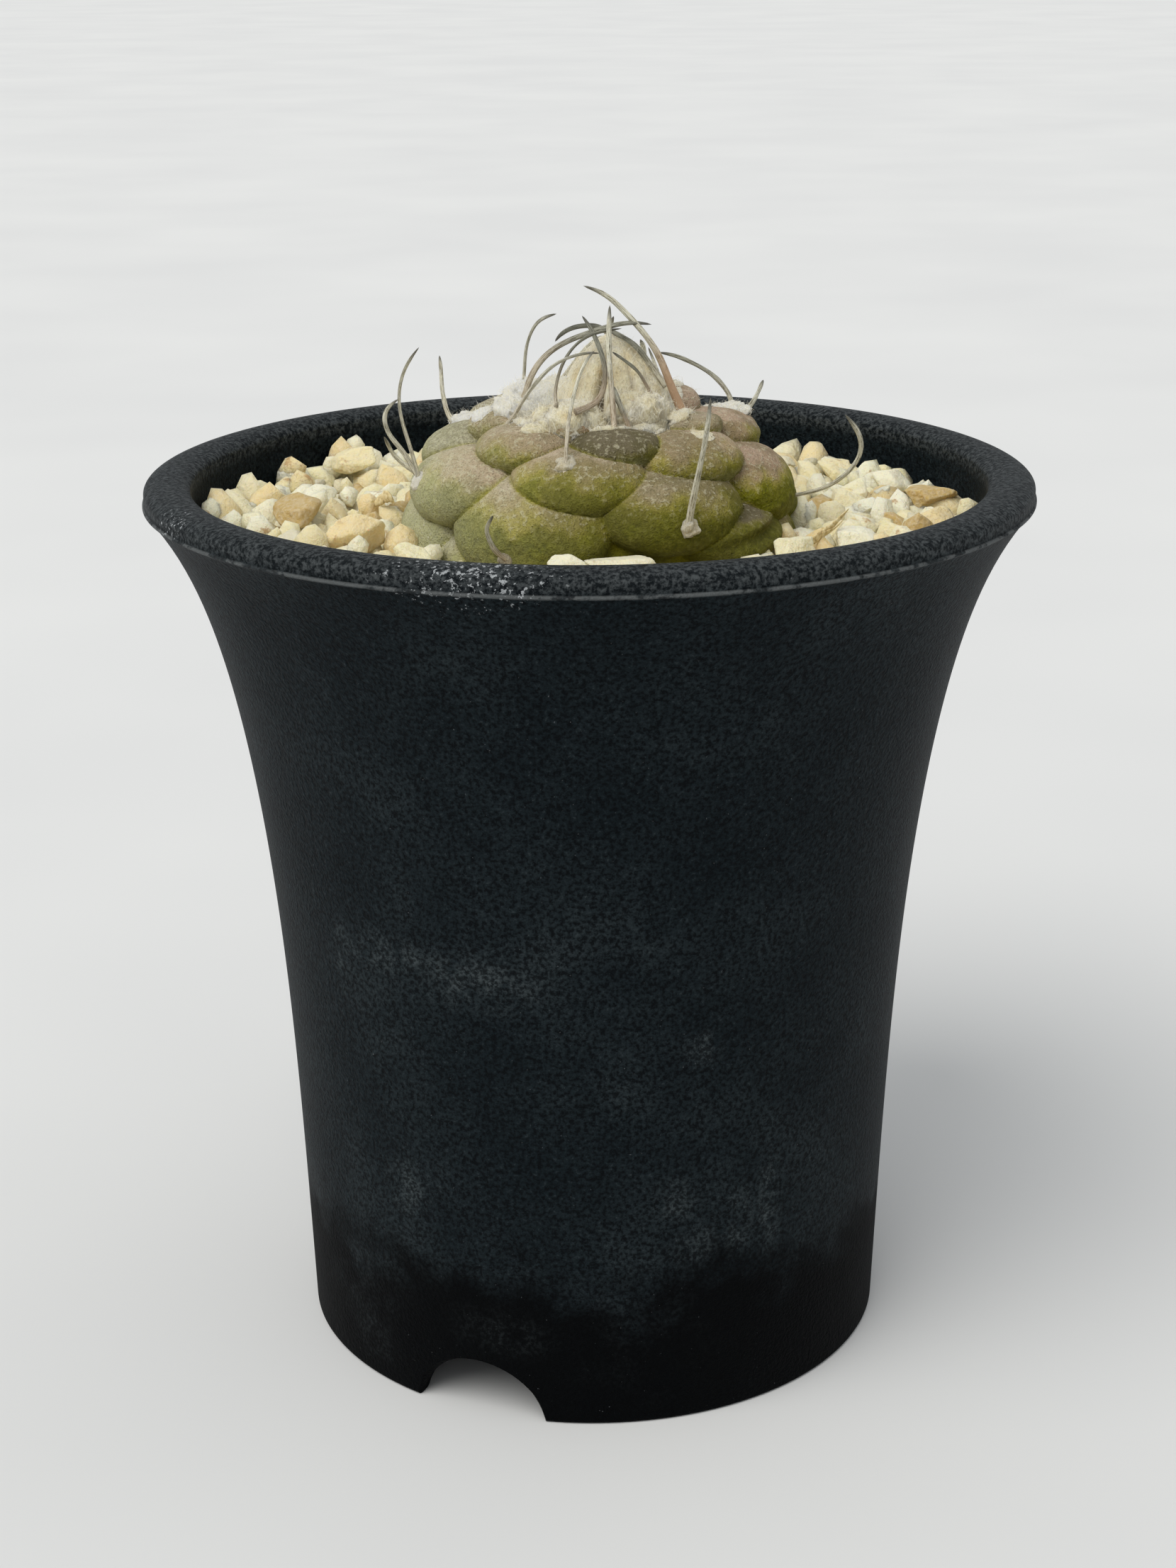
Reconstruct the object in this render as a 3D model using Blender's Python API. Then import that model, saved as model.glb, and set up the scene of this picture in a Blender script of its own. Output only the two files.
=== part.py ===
"""Potted round cactus: a flared pot with its potting mix and top gravel, and one small cactus.

Metres, +Z up. The origin is the centre of the pot's foot, on the surface that it stands on.
Azimuth counts round the pot from the -Y side, positive towards +X. Elevation counts up from
the level plane through the stem's middle. Both are in degrees.
"""

import math
import random

import bmesh
import bpy
from mathutils import Vector, noise
from mathutils.bvhtree import BVHTree

MM = 0.001
GAP = 0.3 * MM  # clearance between any two pieces that touch
TUFT_GAP = 0.4 * MM  # clearance under a tuft, whose facets cross the skin's
CROWN_GAP = 0.8 * MM  # and under the crown wool, which spans whole tubercles

# Pot
POT_HEIGHT = 92.5 * MM
RIM_RADIUS = 45.0 * MM
FOOT_RADIUS = 31.0 * MM
WALL = 2.1 * MM
LIP_WIDTH = 4.7 * MM
LIP_ROUND = 1.1 * MM  # height of the lip's rounded top
LIP_BAND = 1.15 * MM  # straight edge of the lip, above the parting line
FLARE = ((1.0, 0.235), (3.5, 0.565), (14.0, 0.2))  # power of the height, share of the flare
BASE_LIFT = 6.5 * MM  # underside of the base plate above the surface
BASE_PLATE = 2.2 * MM
FOOT_EDGE = 0.5 * MM
DRAIN_RADIUS = 5.0 * MM
SIDE_DRAIN_RADIUS = 3.2 * MM
SIDE_DRAIN_RING = 17.0 * MM
SIDE_DRAINS = 6
NOTCH_RADIUS = 7.2 * MM
NOTCH_SINK = 1.6 * MM  # the notch circle's centre below the surface
NOTCH_AZIMUTH = -22.7
NOTCHES = 3
POT_SEGMENTS = 60
DRAIN_SEGMENTS = 20
NOTCH_SEGMENTS = 40
LIP_STEPS = 6
INSIDE_STEPS = (0, 0.25, 0.5, 0.7, 0.83, 0.93, 1)  # shares of the height that shape the inside
OUTSIDE_STEPS = (1, 0.96, 0.91, 0.84, 0.74, 0.6, 0.35)

# Filling
RIM_DROP = 6.9 * MM  # gravel surface below the lip's top
GRAVEL_DEPTH = 9.0 * MM
HEAP_RISE = 2.2 * MM  # the gravel is heaped against the wall behind, to the left
HEAP_AZIMUTH = -140.0
RIPPLE = 0.5 * MM
RIPPLE_SIZE = 5.0 * MM
FILL_SEGMENTS = 40
ROOM_STEP = 6  # degrees between the rings of the hollow round the stem
GRAVEL_RINGS = 6
STONE_CORNERS = 16
STONE_FLATNESS = 0.72
STONE_UNDER_TURNS = (-8, -4, 0, 4, 8)  # where the gravel under a stone is measured, in degrees
STONE_UNDER_STEPS = (-0.5, -0.25, 0, 0.25, 0.5)  # and in shares of the stone's width

# Plant
STEM_RADIUS = 17.6 * MM  # without the tubercles
STEM_RISE = 10.6 * MM
STEM_SQUARENESS = 2.35
STEM_MIDDLE = 1.2 * MM  # the stem's middle above the gravel surface
STEM_X = 1.2 * MM
TUBERCLE_LIFT = 2.5 * MM
TUBERCLE_HALF_AZIMUTH = 24.0
TUBERCLE_HALF_ELEVATION = 12.5
TUBERCLE_SAG = 0.28  # how much fuller a tubercle is below its middle
TUBERCLE_DOME = (2.4, 0.62)
GROOVE_DEPTH = 1.4 * MM
BLEND = 0.35 * MM  # roundness of the creases between tubercles
DIVERGENCE = 137.5  # turn from each tubercle to the next younger one
FRONT_AZIMUTH = -9.0  # tubercle 0 faces the front
FRONT_ELEVATION = 25.0
CLIMB = 2.3  # rise from each tubercle to the next younger one
TUBERCLES = range(-17, 17)
ROOT_RADIUS = 7.5 * MM
ROOT_LENGTH = 40.0 * MM
ROOT_OVERLAP = 4.0 * MM  # the taproot reaches this far up into the stem
STEM_SEGMENTS = 56
STEM_RINGS = 32

# Wool and spines
WOOL_RADIUS = 10.6 * MM
WOOL_TOP = 17.4 * MM  # above the stem's middle
WOOL_SPREAD = 41.0  # half angle of the crown wool, from straight up
WOOL_EDGE = 0.5 * MM
WOOL_RINGS = 8
WOOL_SEGMENTS = 28
TUFT_RADIUS = 1.3 * MM
TUFT_HEIGHT = 0.6 * MM
TUFT_EDGE = 0.25  # height of a tuft's edge as a share of its height
TUFT_RINGS = 2
TUFT_SEGMENTS = 10
TUFT_TUBERCLES = (-8, -7, -6, -5, -4, -3, -2, -1, 0, 1, 2, 3, 4, 6)
AREOLE_RISE = 0.4  # young areoles sit high on their tubercle and old ones low
AREOLE_LEVEL = 20.0  # elevation where the areole is in the middle
AREOLE_SHIFT = {-8: (2, -2), -5: (1, -3), 0: (-3, 1), 3: (2, 0), -2: (12, -13), 6: (4, -9),
                -3: (-9, -3), 2: (-8, 1)}
SPINE_RADIUS = 0.26 * MM
SPINE_TIP = 0.35  # tip radius as a share of the base radius
SPINE_ROOT = 1.5 * MM  # height over the skin at which a spine leaves its tuft
SPINE_ROOT_CROWN = 0.8 * MM  # and the crown wool
STALK_RADIUS = 0.3 * MM


def clear_scene():
    for obj in list(bpy.data.objects):
        bpy.data.objects.remove(obj, do_unlink=True)


def material(name, color, roughness, metallic=0.0):
    """A plain Principled material."""
    made = bpy.data.materials.new(name)
    made.use_nodes = True
    shader = made.node_tree.nodes["Principled BSDF"]
    shader.inputs["Base Color"].default_value = (*color, 1.0)
    shader.inputs["Roughness"].default_value = roughness
    shader.inputs["Metallic"].default_value = metallic
    return made


def add_object(name, mesh_maker, finish, smooth=True):
    """Turns a bmesh into a named object with one material."""
    mesh = bpy.data.meshes.new(name)
    mesh_maker.to_mesh(mesh)
    mesh_maker.free()
    mesh.materials.append(finish)
    if smooth:
        mesh.shade_smooth()
        mesh.set_sharp_from_angle(angle=math.radians(40))
    obj = bpy.data.objects.new(name, mesh)
    bpy.context.scene.collection.objects.link(obj)
    return obj


def toward(azimuth, elevation=0.0):
    """Unit vector at an azimuth and an elevation."""
    turn = math.radians(azimuth)
    rise = math.radians(elevation)
    return Vector((math.sin(turn) * math.cos(rise), -math.cos(turn) * math.cos(rise), math.sin(rise)))


def revolve(profile, segments, centre=(0.0, 0.0), closed=False):
    """Spins a profile of (radius, height) points round the vertical line through centre."""
    shape = bmesh.new()
    points = [shape.verts.new((centre[0] + radius, centre[1], height)) for radius, height in profile]
    pairs = list(zip(points, points[1:]))
    if closed:
        pairs.append((points[-1], points[0]))
    edges = [shape.edges.new(pair) for pair in pairs]
    bmesh.ops.spin(shape, geom=points + edges, cent=(*centre, 0.0), axis=(0, 0, 1),
                   angle=math.tau, steps=segments, use_merge=True)
    bmesh.ops.remove_doubles(shape, verts=shape.verts, dist=1e-7)
    bmesh.ops.recalc_face_normals(shape, faces=shape.faces)
    return shape


def cut(obj, cutter):
    """Subtracts a helper object, which stays in the file as a wire."""
    cutter.hide_render = True
    cutter.display_type = "WIRE"
    boolean = obj.modifiers.new(cutter.name, "BOOLEAN")
    boolean.operation = "DIFFERENCE"
    boolean.object = cutter


# Pot

def parting_height():
    return POT_HEIGHT - LIP_ROUND - LIP_BAND


def outer_wall(height):
    """Outer radius of the pot: a straight taper, then a flare that quickens towards the lip."""
    rise = max(0.0, height) / parting_height()
    flare = sum(share * rise ** power for power, share in FLARE)
    return FOOT_RADIUS + (RIM_RADIUS - FOOT_RADIUS) * flare


def inside_profile():
    """(radius, height) points of the pot's inside, from its floor up to the lip."""
    floor = BASE_LIFT + BASE_PLATE
    top = POT_HEIGHT - LIP_ROUND
    heights = [floor + (top - floor) * share for share in INSIDE_STEPS]
    return [(min(outer_wall(height) - WALL, RIM_RADIUS - LIP_WIDTH), height) for height in heights]


def inner_wall(height):
    """Inner radius of the pot's faceted wall at a height."""
    profile = inside_profile()
    for (radius, low), (next_radius, high) in zip(profile, profile[1:]):
        if height <= high:
            break
    return radius + (next_radius - radius) * (height - low) / (high - low)


def wall_heights(low, high):
    """low, high, and the heights between them where the wall's inside has a corner."""
    margin = 0.5 * MM
    corners = [height for _, height in inside_profile() if low + margin < height < high - margin]
    return [low, *corners, high]


def lip_profile():
    """The lip's rounded top, from the inside over to the outside."""
    middle = RIM_RADIUS - LIP_WIDTH / 2
    bottom = POT_HEIGHT - LIP_ROUND
    turns = [math.pi * (1 - step / LIP_STEPS) for step in range(LIP_STEPS + 1)]
    return [(middle + LIP_WIDTH / 2 * math.cos(turn), bottom + LIP_ROUND * math.sin(turn)) for turn in turns]


def pot_profile():
    points = [(DRAIN_RADIUS, BASE_LIFT), (DRAIN_RADIUS, BASE_LIFT + BASE_PLATE)]
    points += inside_profile()[:-1]
    points += lip_profile()
    points += [(outer_wall(parting_height() * share), parting_height() * share) for share in OUTSIDE_STEPS]
    points += [(outer_wall(FOOT_EDGE), FOOT_EDGE), (FOOT_RADIUS - FOOT_EDGE, 0.0)]
    points += [(FOOT_RADIUS - WALL, 0.0), (FOOT_RADIUS - WALL, BASE_LIFT)]
    return points


def drain_cutter():
    """Six upright cylinders, in a ring round the middle drain hole."""
    shape = bmesh.new()
    for step in range(SIDE_DRAINS):
        made = bmesh.ops.create_cone(shape, cap_ends=True, segments=DRAIN_SEGMENTS, radius1=SIDE_DRAIN_RADIUS,
                                     radius2=SIDE_DRAIN_RADIUS, depth=3 * BASE_PLATE)
        place = SIDE_DRAIN_RING * toward(360 * step / SIDE_DRAINS)
        place.z = BASE_LIFT + BASE_PLATE / 2
        bmesh.ops.translate(shape, vec=place, verts=made["verts"])
    return add_object("drain_cutter", shape, material("cutter", (1, 0, 0), 0.5))


def notch_cutter(number):
    """A level cylinder through the foot ring, with its axis just under the surface."""
    shape = bmesh.new()
    bmesh.ops.create_cone(shape, cap_ends=True, segments=NOTCH_SEGMENTS, radius1=NOTCH_RADIUS,
                          radius2=NOTCH_RADIUS, depth=8 * WALL)
    cutter = add_object(f"notch_cutter_{number}", shape, material("cutter", (1, 0, 0), 0.5))
    outward = toward(NOTCH_AZIMUTH + 360 * number / NOTCHES)
    cutter.rotation_euler = outward.to_track_quat("Z", "Y").to_euler()
    cutter.location = outward * (FOOT_RADIUS - WALL / 2) - Vector((0, 0, NOTCH_SINK))
    return cutter


def make_pot():
    finish = material("pot_plastic", (0.022, 0.025, 0.028), 0.55)
    pot = add_object("pot", revolve(pot_profile(), POT_SEGMENTS, closed=True), finish)
    cut(pot, drain_cutter())
    for number in range(NOTCHES):
        cut(pot, notch_cutter(number))


# Stem

def stem_middle():
    return Vector((STEM_X, 0.0, POT_HEIGHT - RIM_DROP + STEM_MIDDLE))


def soft_max(values, blend):
    """The largest value, rounded off where two are close."""
    top = max(values)
    return top + blend * math.log(sum(math.exp((value - top) / blend) for value in values))


def body_reach(elevation):
    """Distance from the stem's middle to the smooth body under the tubercles."""
    rise = math.radians(elevation)
    level = abs(math.cos(rise) / STEM_RADIUS) ** STEM_SQUARENESS
    upright = abs(math.sin(rise) / STEM_RISE) ** STEM_SQUARENESS
    return (level + upright) ** (-1 / STEM_SQUARENESS)


def root_reach(elevation):
    """Distance from the stem's middle to the taproot, a long ellipsoid that hangs below it."""
    rise = math.radians(elevation)
    half = (ROOT_LENGTH + ROOT_OVERLAP) / 2
    centre = -ROOT_LENGTH + half
    a = (math.cos(rise) / ROOT_RADIUS) ** 2 + (math.sin(rise) / half) ** 2
    b = -2 * math.sin(rise) * centre / half ** 2
    c = (centre / half) ** 2 - 1
    return (-b + math.sqrt(b * b - 4 * a * c)) / (2 * a)


def tubercle_place(number):
    """Azimuth and elevation of a tubercle's middle, on one spiral round the stem."""
    return FRONT_AZIMUTH + DIVERGENCE * number, FRONT_ELEVATION + CLIMB * number


def turn_between(azimuth, other):
    return (azimuth - other + 180) % 360 - 180


def tubercle_height(azimuth, elevation, number):
    """Height of one tubercle's dome above the smooth body; it falls away outside its outline."""
    middle_azimuth, middle_elevation = tubercle_place(number)
    across = turn_between(azimuth, middle_azimuth) / TUBERCLE_HALF_AZIMUTH
    up = (elevation - middle_elevation) / TUBERCLE_HALF_ELEVATION
    reach = math.hypot(across, up)
    if reach >= 1:
        return -GROOVE_DEPTH * min(reach - 1, 1)
    power, fullness = TUBERCLE_DOME
    return TUBERCLE_LIFT * (1 - reach ** power) ** fullness * (1 - TUBERCLE_SAG * up)


def stem_reach(azimuth, elevation):
    """Distance from the stem's middle to its skin in one direction."""
    heights = [tubercle_height(azimuth, elevation, number) for number in TUBERCLES]
    body = body_reach(elevation) + soft_max(heights, BLEND)
    return soft_max([body, root_reach(elevation)], 2 * BLEND)


def stem_room(elevation):
    """Reach of the hollow that the filling leaves for the stem and its taproot."""
    fullest = TUBERCLE_LIFT * (1 + TUBERCLE_SAG) + 2 * BLEND
    return soft_max([body_reach(elevation) + fullest, root_reach(elevation)], 2 * BLEND) + 2 * GAP


def place_of(direction):
    """Azimuth and elevation of a direction."""
    level = math.hypot(direction.x, direction.y)
    return math.degrees(math.atan2(direction.x, -direction.y)), math.degrees(math.atan2(direction.z, level))


def make_stem():
    """Makes the stem and returns a tree of its facets, which the wool is laid on."""
    shape = bmesh.new()
    bmesh.ops.create_uvsphere(shape, u_segments=STEM_SEGMENTS, v_segments=STEM_RINGS, radius=1.0)
    for vert in shape.verts:
        direction = vert.co.normalized()
        vert.co = stem_middle() + direction * stem_reach(*place_of(direction))
    skin = BVHTree.FromBMesh(shape)
    add_object("cactus_stem", shape, material("cactus_skin", (0.25, 0.25, 0.15), 0.6))
    return skin


def skin_distance(skin, ray):
    """Distance from the stem's middle to its facets along a ray."""
    far = 4 * STEM_RADIUS
    return far - skin.ray_cast(stem_middle() + ray * far, -ray)[3]


# Filling

def gravel_top(azimuth, radius):
    """Height of the gravel's surface: level, heaped up against one side, with small ripples."""
    share = min(1.0, radius / (RIM_RADIUS - LIP_WIDTH))
    heap = HEAP_RISE * share ** 3 * max(0.0, math.cos(math.radians(azimuth - HEAP_AZIMUTH)))
    spot = toward(azimuth) * radius / RIPPLE_SIZE
    return POT_HEIGHT - RIM_DROP + heap + RIPPLE * noise.noise(spot)


def gravel_floor():
    return POT_HEIGHT - RIM_DROP - GRAVEL_DEPTH


def room_cutter():
    """The hollow for the stem and taproot, shared by the potting mix and the gravel."""
    middle = stem_middle()
    profile = []
    for elevation in range(-90, 91, ROOM_STEP):
        reach = stem_room(elevation)
        rise = math.radians(elevation)
        profile.append((abs(reach * math.cos(rise)), middle.z + reach * math.sin(rise)))
    profile[0] = (0.0, profile[0][1])
    profile[-1] = (0.0, profile[-1][1])
    shape = revolve(profile, FILL_SEGMENTS, centre=(middle.x, middle.y))
    return add_object("room_cutter", shape, material("cutter", (1, 0, 0), 0.5))


def make_potting_mix(room):
    floor = BASE_LIFT + BASE_PLATE + GAP
    top = gravel_floor() - GAP
    profile = [(0.0, floor)]
    profile += [(inner_wall(height) - GAP, height) for height in wall_heights(floor, top)]
    profile += [(0.0, top)]
    finish = material("potting_mix", (0.07, 0.045, 0.03), 0.95)
    cut(add_object("potting_mix", revolve(profile, FILL_SEGMENTS), finish), room)


def make_gravel_bed(room, finish):
    """The top dressing: its side follows the pot's wall and its surface follows gravel_top."""
    floor = gravel_floor()
    side = wall_heights(floor, POT_HEIGHT - RIM_DROP - RIPPLE)[:-1]
    edge = inner_wall(POT_HEIGHT - RIM_DROP) - GAP
    shape = bmesh.new()
    bottom = shape.verts.new((0.0, 0.0, floor))
    middle = shape.verts.new((0.0, 0.0, gravel_top(0, 0)))
    columns = []
    for step in range(FILL_SEGMENTS):
        azimuth = 360 * step / FILL_SEGMENTS
        outward = toward(azimuth)
        rings = [edge * ring / GRAVEL_RINGS for ring in range(GRAVEL_RINGS, 0, -1)]
        route = [(inner_wall(height) - GAP, height) for height in side]
        route += [(radius, gravel_top(azimuth, radius)) for radius in rings]
        points = [outward * radius + Vector((0, 0, height)) for radius, height in route]
        columns.append([shape.verts.new(point) for point in points])
    for column, following in zip(columns, columns[1:] + columns[:1]):
        shape.faces.new((bottom, column[0], following[0]))
        for low, high, next_low, next_high in zip(column, column[1:], following, following[1:]):
            shape.faces.new((low, high, next_high, next_low))
        shape.faces.new((column[-1], middle, following[-1]))
    bmesh.ops.recalc_face_normals(shape, faces=shape.faces)
    cut(add_object("gravel_bed", shape, finish), room)


# Azimuth, share of the way from the stem to the wall, and width in millimetres of each large
# stone that lies loose on the gravel.
STONES = (
    (-9, 0.0, 4.3), (6, 0.02, 4.6), (54, 0.0, 3.6), (74, 0.3, 4.4), (103, 0.9, 5.0), (125, 0.6, 4.4),
    (158, 0.6, 4.4), (-158, 0.7, 4.8), (-128, 0.75, 5.4), (-94, 0.5, 5.4), (-68, 0.35, 5.0), (-45, 0.2, 4.0),
)


def open_radius(share, width):
    """Radius of a piece of that width, a share of the way from the stem to the pot's wall."""
    near = stem_room(0) + abs(STEM_X) + width / 2 + GAP
    far = inner_wall(POT_HEIGHT - RIM_DROP) - width / 2 - 2 * GAP
    return near + (far - near) * share


def make_stone(number, azimuth, share, width, finish):
    """An angular stone: the convex hull of scattered corners, lying just above the gravel."""
    seeded = random.Random(100 + number)
    shape = bmesh.new()
    for _ in range(STONE_CORNERS):
        corner = Vector([seeded.gauss(0, 1) for _ in range(3)]).normalized()
        corner.x *= seeded.uniform(0.85, 1.0)
        corner.z *= STONE_FLATNESS
        shape.verts.new(corner * width / 2)
    hull = bmesh.ops.convex_hull(shape, input=shape.verts)
    inside = set(hull["geom_interior"]) | set(hull["geom_unused"])
    loose = [item for item in inside if isinstance(item, bmesh.types.BMVert)]
    bmesh.ops.delete(shape, geom=loose, context="VERTS")
    radius = open_radius(share, width)
    place = toward(azimuth) * radius
    under = [gravel_top(azimuth + turn, radius + step * width)
             for turn in STONE_UNDER_TURNS for step in STONE_UNDER_STEPS]
    place.z = max(under) + 2 * GAP - min(vert.co.z for vert in shape.verts)
    bmesh.ops.translate(shape, vec=place, verts=shape.verts)
    bmesh.ops.recalc_face_normals(shape, faces=shape.faces)
    add_object(f"gravel_stone_{number:02d}", shape, finish, smooth=False)


def make_filling():
    room = room_cutter()
    make_potting_mix(room)
    finish = material("gravel", (0.72, 0.66, 0.52), 0.8)
    make_gravel_bed(room, finish)
    for number, (azimuth, share, width) in enumerate(STONES, start=1):
        make_stone(number, azimuth, share, width * MM, finish)


# Wool

def wool_reach(elevation):
    """Distance from the stem's middle to the crown wool's dome, or 0 where the dome isn't met."""
    rise = math.radians(elevation)
    half = WOOL_TOP / 2
    a = (math.cos(rise) / WOOL_RADIUS) ** 2 + (math.sin(rise) / half) ** 2
    return 2 * math.sin(rise) / half / a if elevation > 0 else 0.0


def pad(name, skin, gap, direction, half_angle, outer, rings, segments, finish):
    """A closed pad that covers a round patch of the stem, a gap above its skin.

    outer gives its outer distance from the share of the way to its edge, the elevation and its
    inner distance.
    """
    axis = direction.normalized()
    side = axis.orthogonal().normalized()
    other = axis.cross(side)
    middle = stem_middle()
    shape = bmesh.new()

    def corner(ring, step, inside):
        share = ring / rings
        tilt = math.radians(half_angle) * share
        turn = math.tau * step / segments
        ray = axis * math.cos(tilt) + (side * math.cos(turn) + other * math.sin(turn)) * math.sin(tilt)
        reach = skin_distance(skin, ray) + gap
        if not inside:
            reach = outer(share, place_of(ray)[1], reach)
        return shape.verts.new(middle + ray * reach)

    layers = []
    for inside in (False, True):
        pole = corner(0, 0, inside)
        circles = [[corner(ring, step, inside) for step in range(segments)] for ring in range(1, rings + 1)]
        for step in range(segments):
            after = (step + 1) % segments
            shape.faces.new((pole, circles[0][step], circles[0][after]))
            for near, far in zip(circles, circles[1:]):
                shape.faces.new((near[step], far[step], far[after], near[after]))
        layers.append(circles[-1])
    for step in range(segments):
        after = (step + 1) % segments
        shape.faces.new((layers[0][step], layers[1][step], layers[1][after], layers[0][after]))
    bmesh.ops.recalc_face_normals(shape, faces=shape.faces)
    return add_object(name, shape, finish)


def areole_place(number):
    """Azimuth and elevation of a tubercle's areole, where its wool and its spine grow."""
    azimuth, elevation = tubercle_place(number)
    aside, up = AREOLE_SHIFT.get(number, (0, 0))
    return azimuth + aside, elevation + AREOLE_RISE * (elevation - AREOLE_LEVEL) + up


def make_wool(skin):
    finish = material("wool", (0.78, 0.72, 0.58), 0.95)

    def crown(share, elevation, inner):
        return max(wool_reach(elevation), inner + WOOL_EDGE)

    straight_up = Vector((0, 0, 1))
    pad("crown_wool", skin, CROWN_GAP, straight_up, WOOL_SPREAD, crown, WOOL_RINGS, WOOL_SEGMENTS, finish)

    def tuft(share, elevation, inner):
        return inner + TUFT_HEIGHT * (TUFT_EDGE + (1 - TUFT_EDGE) * math.sqrt(1 - share * share))

    for count, number in enumerate(TUFT_TUBERCLES, start=1):
        azimuth, elevation = areole_place(number)
        half_angle = math.degrees(TUFT_RADIUS / stem_reach(azimuth, elevation))
        outward = toward(azimuth, elevation)
        name = f"areole_wool_{count:02d}"
        pad(name, skin, TUFT_GAP, outward, half_angle, tuft, TUFT_RINGS, TUFT_SEGMENTS, finish)


# Spines, each as a list of (azimuth, elevation, height over skin and wool in millimetres). The
# first point has no height: a spine starts where its wool ends.
TUFT_SPINES = (
    ((-27, 1), (-31, 5, 2.0), (-31, 9, 2.8), (-28, 13, 3.8)),
    ((25, 8), (26, 16, 3.0), (26, 26, 6.5), (27, 36, 11.5)),
    ((-12, 28), (-14, 34, 2.4), (-13, 46, 4.2), (-12, 55, 4.5), (-9, 60, 4.4), (-4, 65, 4.4)),
    ((105, 37), (109, 50, 3.4), (114, 58, 2.6), (123, 66, 1.6)),
    ((128, 30), (128, 29, 4.5), (129, 30, 8.0)),
    ((88, 8), (87, 9, 3.6), (86, 12, 5.9), (86, 15, 7.4), (85, 18, 8.0), (84, 21, 8.3), (83, 25, 8.4)),
    ((-70, 15), (-72, 23, 3.6), (-72, 29, 6.8), (-72, 34, 9.7), (-71, 38, 10.2), (-70, 42, 10.5),
     (-68, 45, 11.2)),
    ((-75, 17), (-77, 23, 4.2), (-79, 26, 5.9), (-80, 28, 7.2), (-81, 31, 7.7), (-82, 33, 7.5)),
    ((-102, 34), (-103, 39, 5.5), (-103, 43, 8.7), (-104, 44, 9.5)),
    ((-146, 24), (-147, 31, 4.5), (-150, 38, 7.5), (-154, 44, 9.0)),
    ((181, 40), (179, 48, 3.5), (176, 55, 5.0), (172, 62, 5.5)),
    ((161, 14), (162, 19, 4.5), (164, 25, 7.5), (167, 31, 9.0)),
    ((-114, 8), (-113, 12, 3.5), (-110, 17, 5.5)),
)
CROWN_SPINES = (
    ((7, 50), (5, 59, 1.4), (4, 67, 2.9), (6, 73, 5.0), (11, 77, 6.2)),
    ((62, 57), (64, 64, 1.2), (64, 71, 2.2), (62, 78, 3.5), (59, 83, 4.8), (52, 87, 5.8), (-90, 86, 6.7)),
    ((-48, 50), (-45, 55, 1.8), (-38, 62, 2.0), (-30, 68, 2.2), (-20, 72, 2.2), (-2, 74, 1.7)),
    ((-68, 60), (-66, 67, 1.2), (-61, 73, 1.8), (-48, 79, 2.4), (-17, 83, 3.1), (38, 82, 4.2), (66, 77, 4.9)),
    ((-132, 52), (-131, 59, 3.0), (-133, 63, 4.4), (-135, 66, 4.9), (-143, 70, 4.8)),
    ((134, 80), (-153, 86, 1.8), (-102, 83, 2.6), (-87, 80, 2.6), (-78, 76, 2.1)),
    ((-10, 54), (-2, 64, 0.9), (3, 73, 0.9), (-3, 79, 1.2), (-22, 85, 2.0), (-90, 85, 3.8)),
    ((-32, 57), (-39, 67, 0.9), (-42, 75, 1.0), (-42, 82, 1.4)),
    ((69, 70), (73, 76, 1.0), (77, 80, 1.5), (90, 86, 2.1)),
    ((40, 67), (37, 70, 0.9), (29, 74, 1.1), (19, 77, 1.3)),
    ((14, 53), (12, 58, 0.9), (12, 63, 0.9)),
    ((142, 63), (141, 67, 1.4), (141, 70, 2.0)),
    ((170, 60), (172, 68, 1.6), (170, 75, 2.6), (150, 81, 3.6)),
    ((-160, 55), (-165, 64, 1.6), (-172, 72, 2.8), (170, 80, 4.8)),
)
# The dry stalk, as (azimuth, share of the way from the stem to the wall, height in millimetres).
STALK = ((40, 0.5, 1.4), (47, 0.44, 1.6), (55, 0.4, 2.2), (63, 0.4, 3.4))


def wool_top(skin, ray):
    """Distance from the stem's middle to the outermost of skin, crown wool and its edge."""
    elevation = place_of(ray)[1]
    bare = skin_distance(skin, ray)
    if elevation < 90 - WOOL_SPREAD:
        return bare
    return max(bare + CROWN_GAP + WOOL_EDGE, wool_reach(elevation))


def make_tube(name, points, thick, thin, finish):
    """A round rod that tapers from thick to thin along a smooth line through the points."""
    curve = bpy.data.curves.new(name, "CURVE")
    curve.dimensions = "3D"
    curve.bevel_depth = thick
    curve.bevel_resolution = 0
    curve.resolution_u = 2
    curve.use_fill_caps = True
    line = curve.splines.new("BEZIER")
    line.bezier_points.add(len(points) - 1)
    for index, (knot, point) in enumerate(zip(line.bezier_points, points)):
        knot.co = point
        knot.handle_left_type = knot.handle_right_type = "AUTO"
        knot.radius = 1 + (thin / thick - 1) * index / (len(points) - 1)
    curve.materials.append(finish)
    bpy.context.scene.collection.objects.link(bpy.data.objects.new(name, curve))


def make_spines(skin):
    finish = material("spine", (0.42, 0.39, 0.34), 0.7)
    roots = [SPINE_ROOT] * len(TUFT_SPINES) + [SPINE_ROOT_CROWN] * len(CROWN_SPINES)
    for count, (route, root) in enumerate(zip(TUFT_SPINES + CROWN_SPINES, roots), start=1):
        points = []
        for azimuth, elevation, *height in route:
            ray = toward(azimuth, elevation)
            over = height[0] * MM if height else root
            points.append(stem_middle() + ray * (wool_top(skin, ray) + over))
        make_tube(f"spine_{count:02d}", points, SPINE_RADIUS, SPINE_RADIUS * SPINE_TIP, finish)


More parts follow.
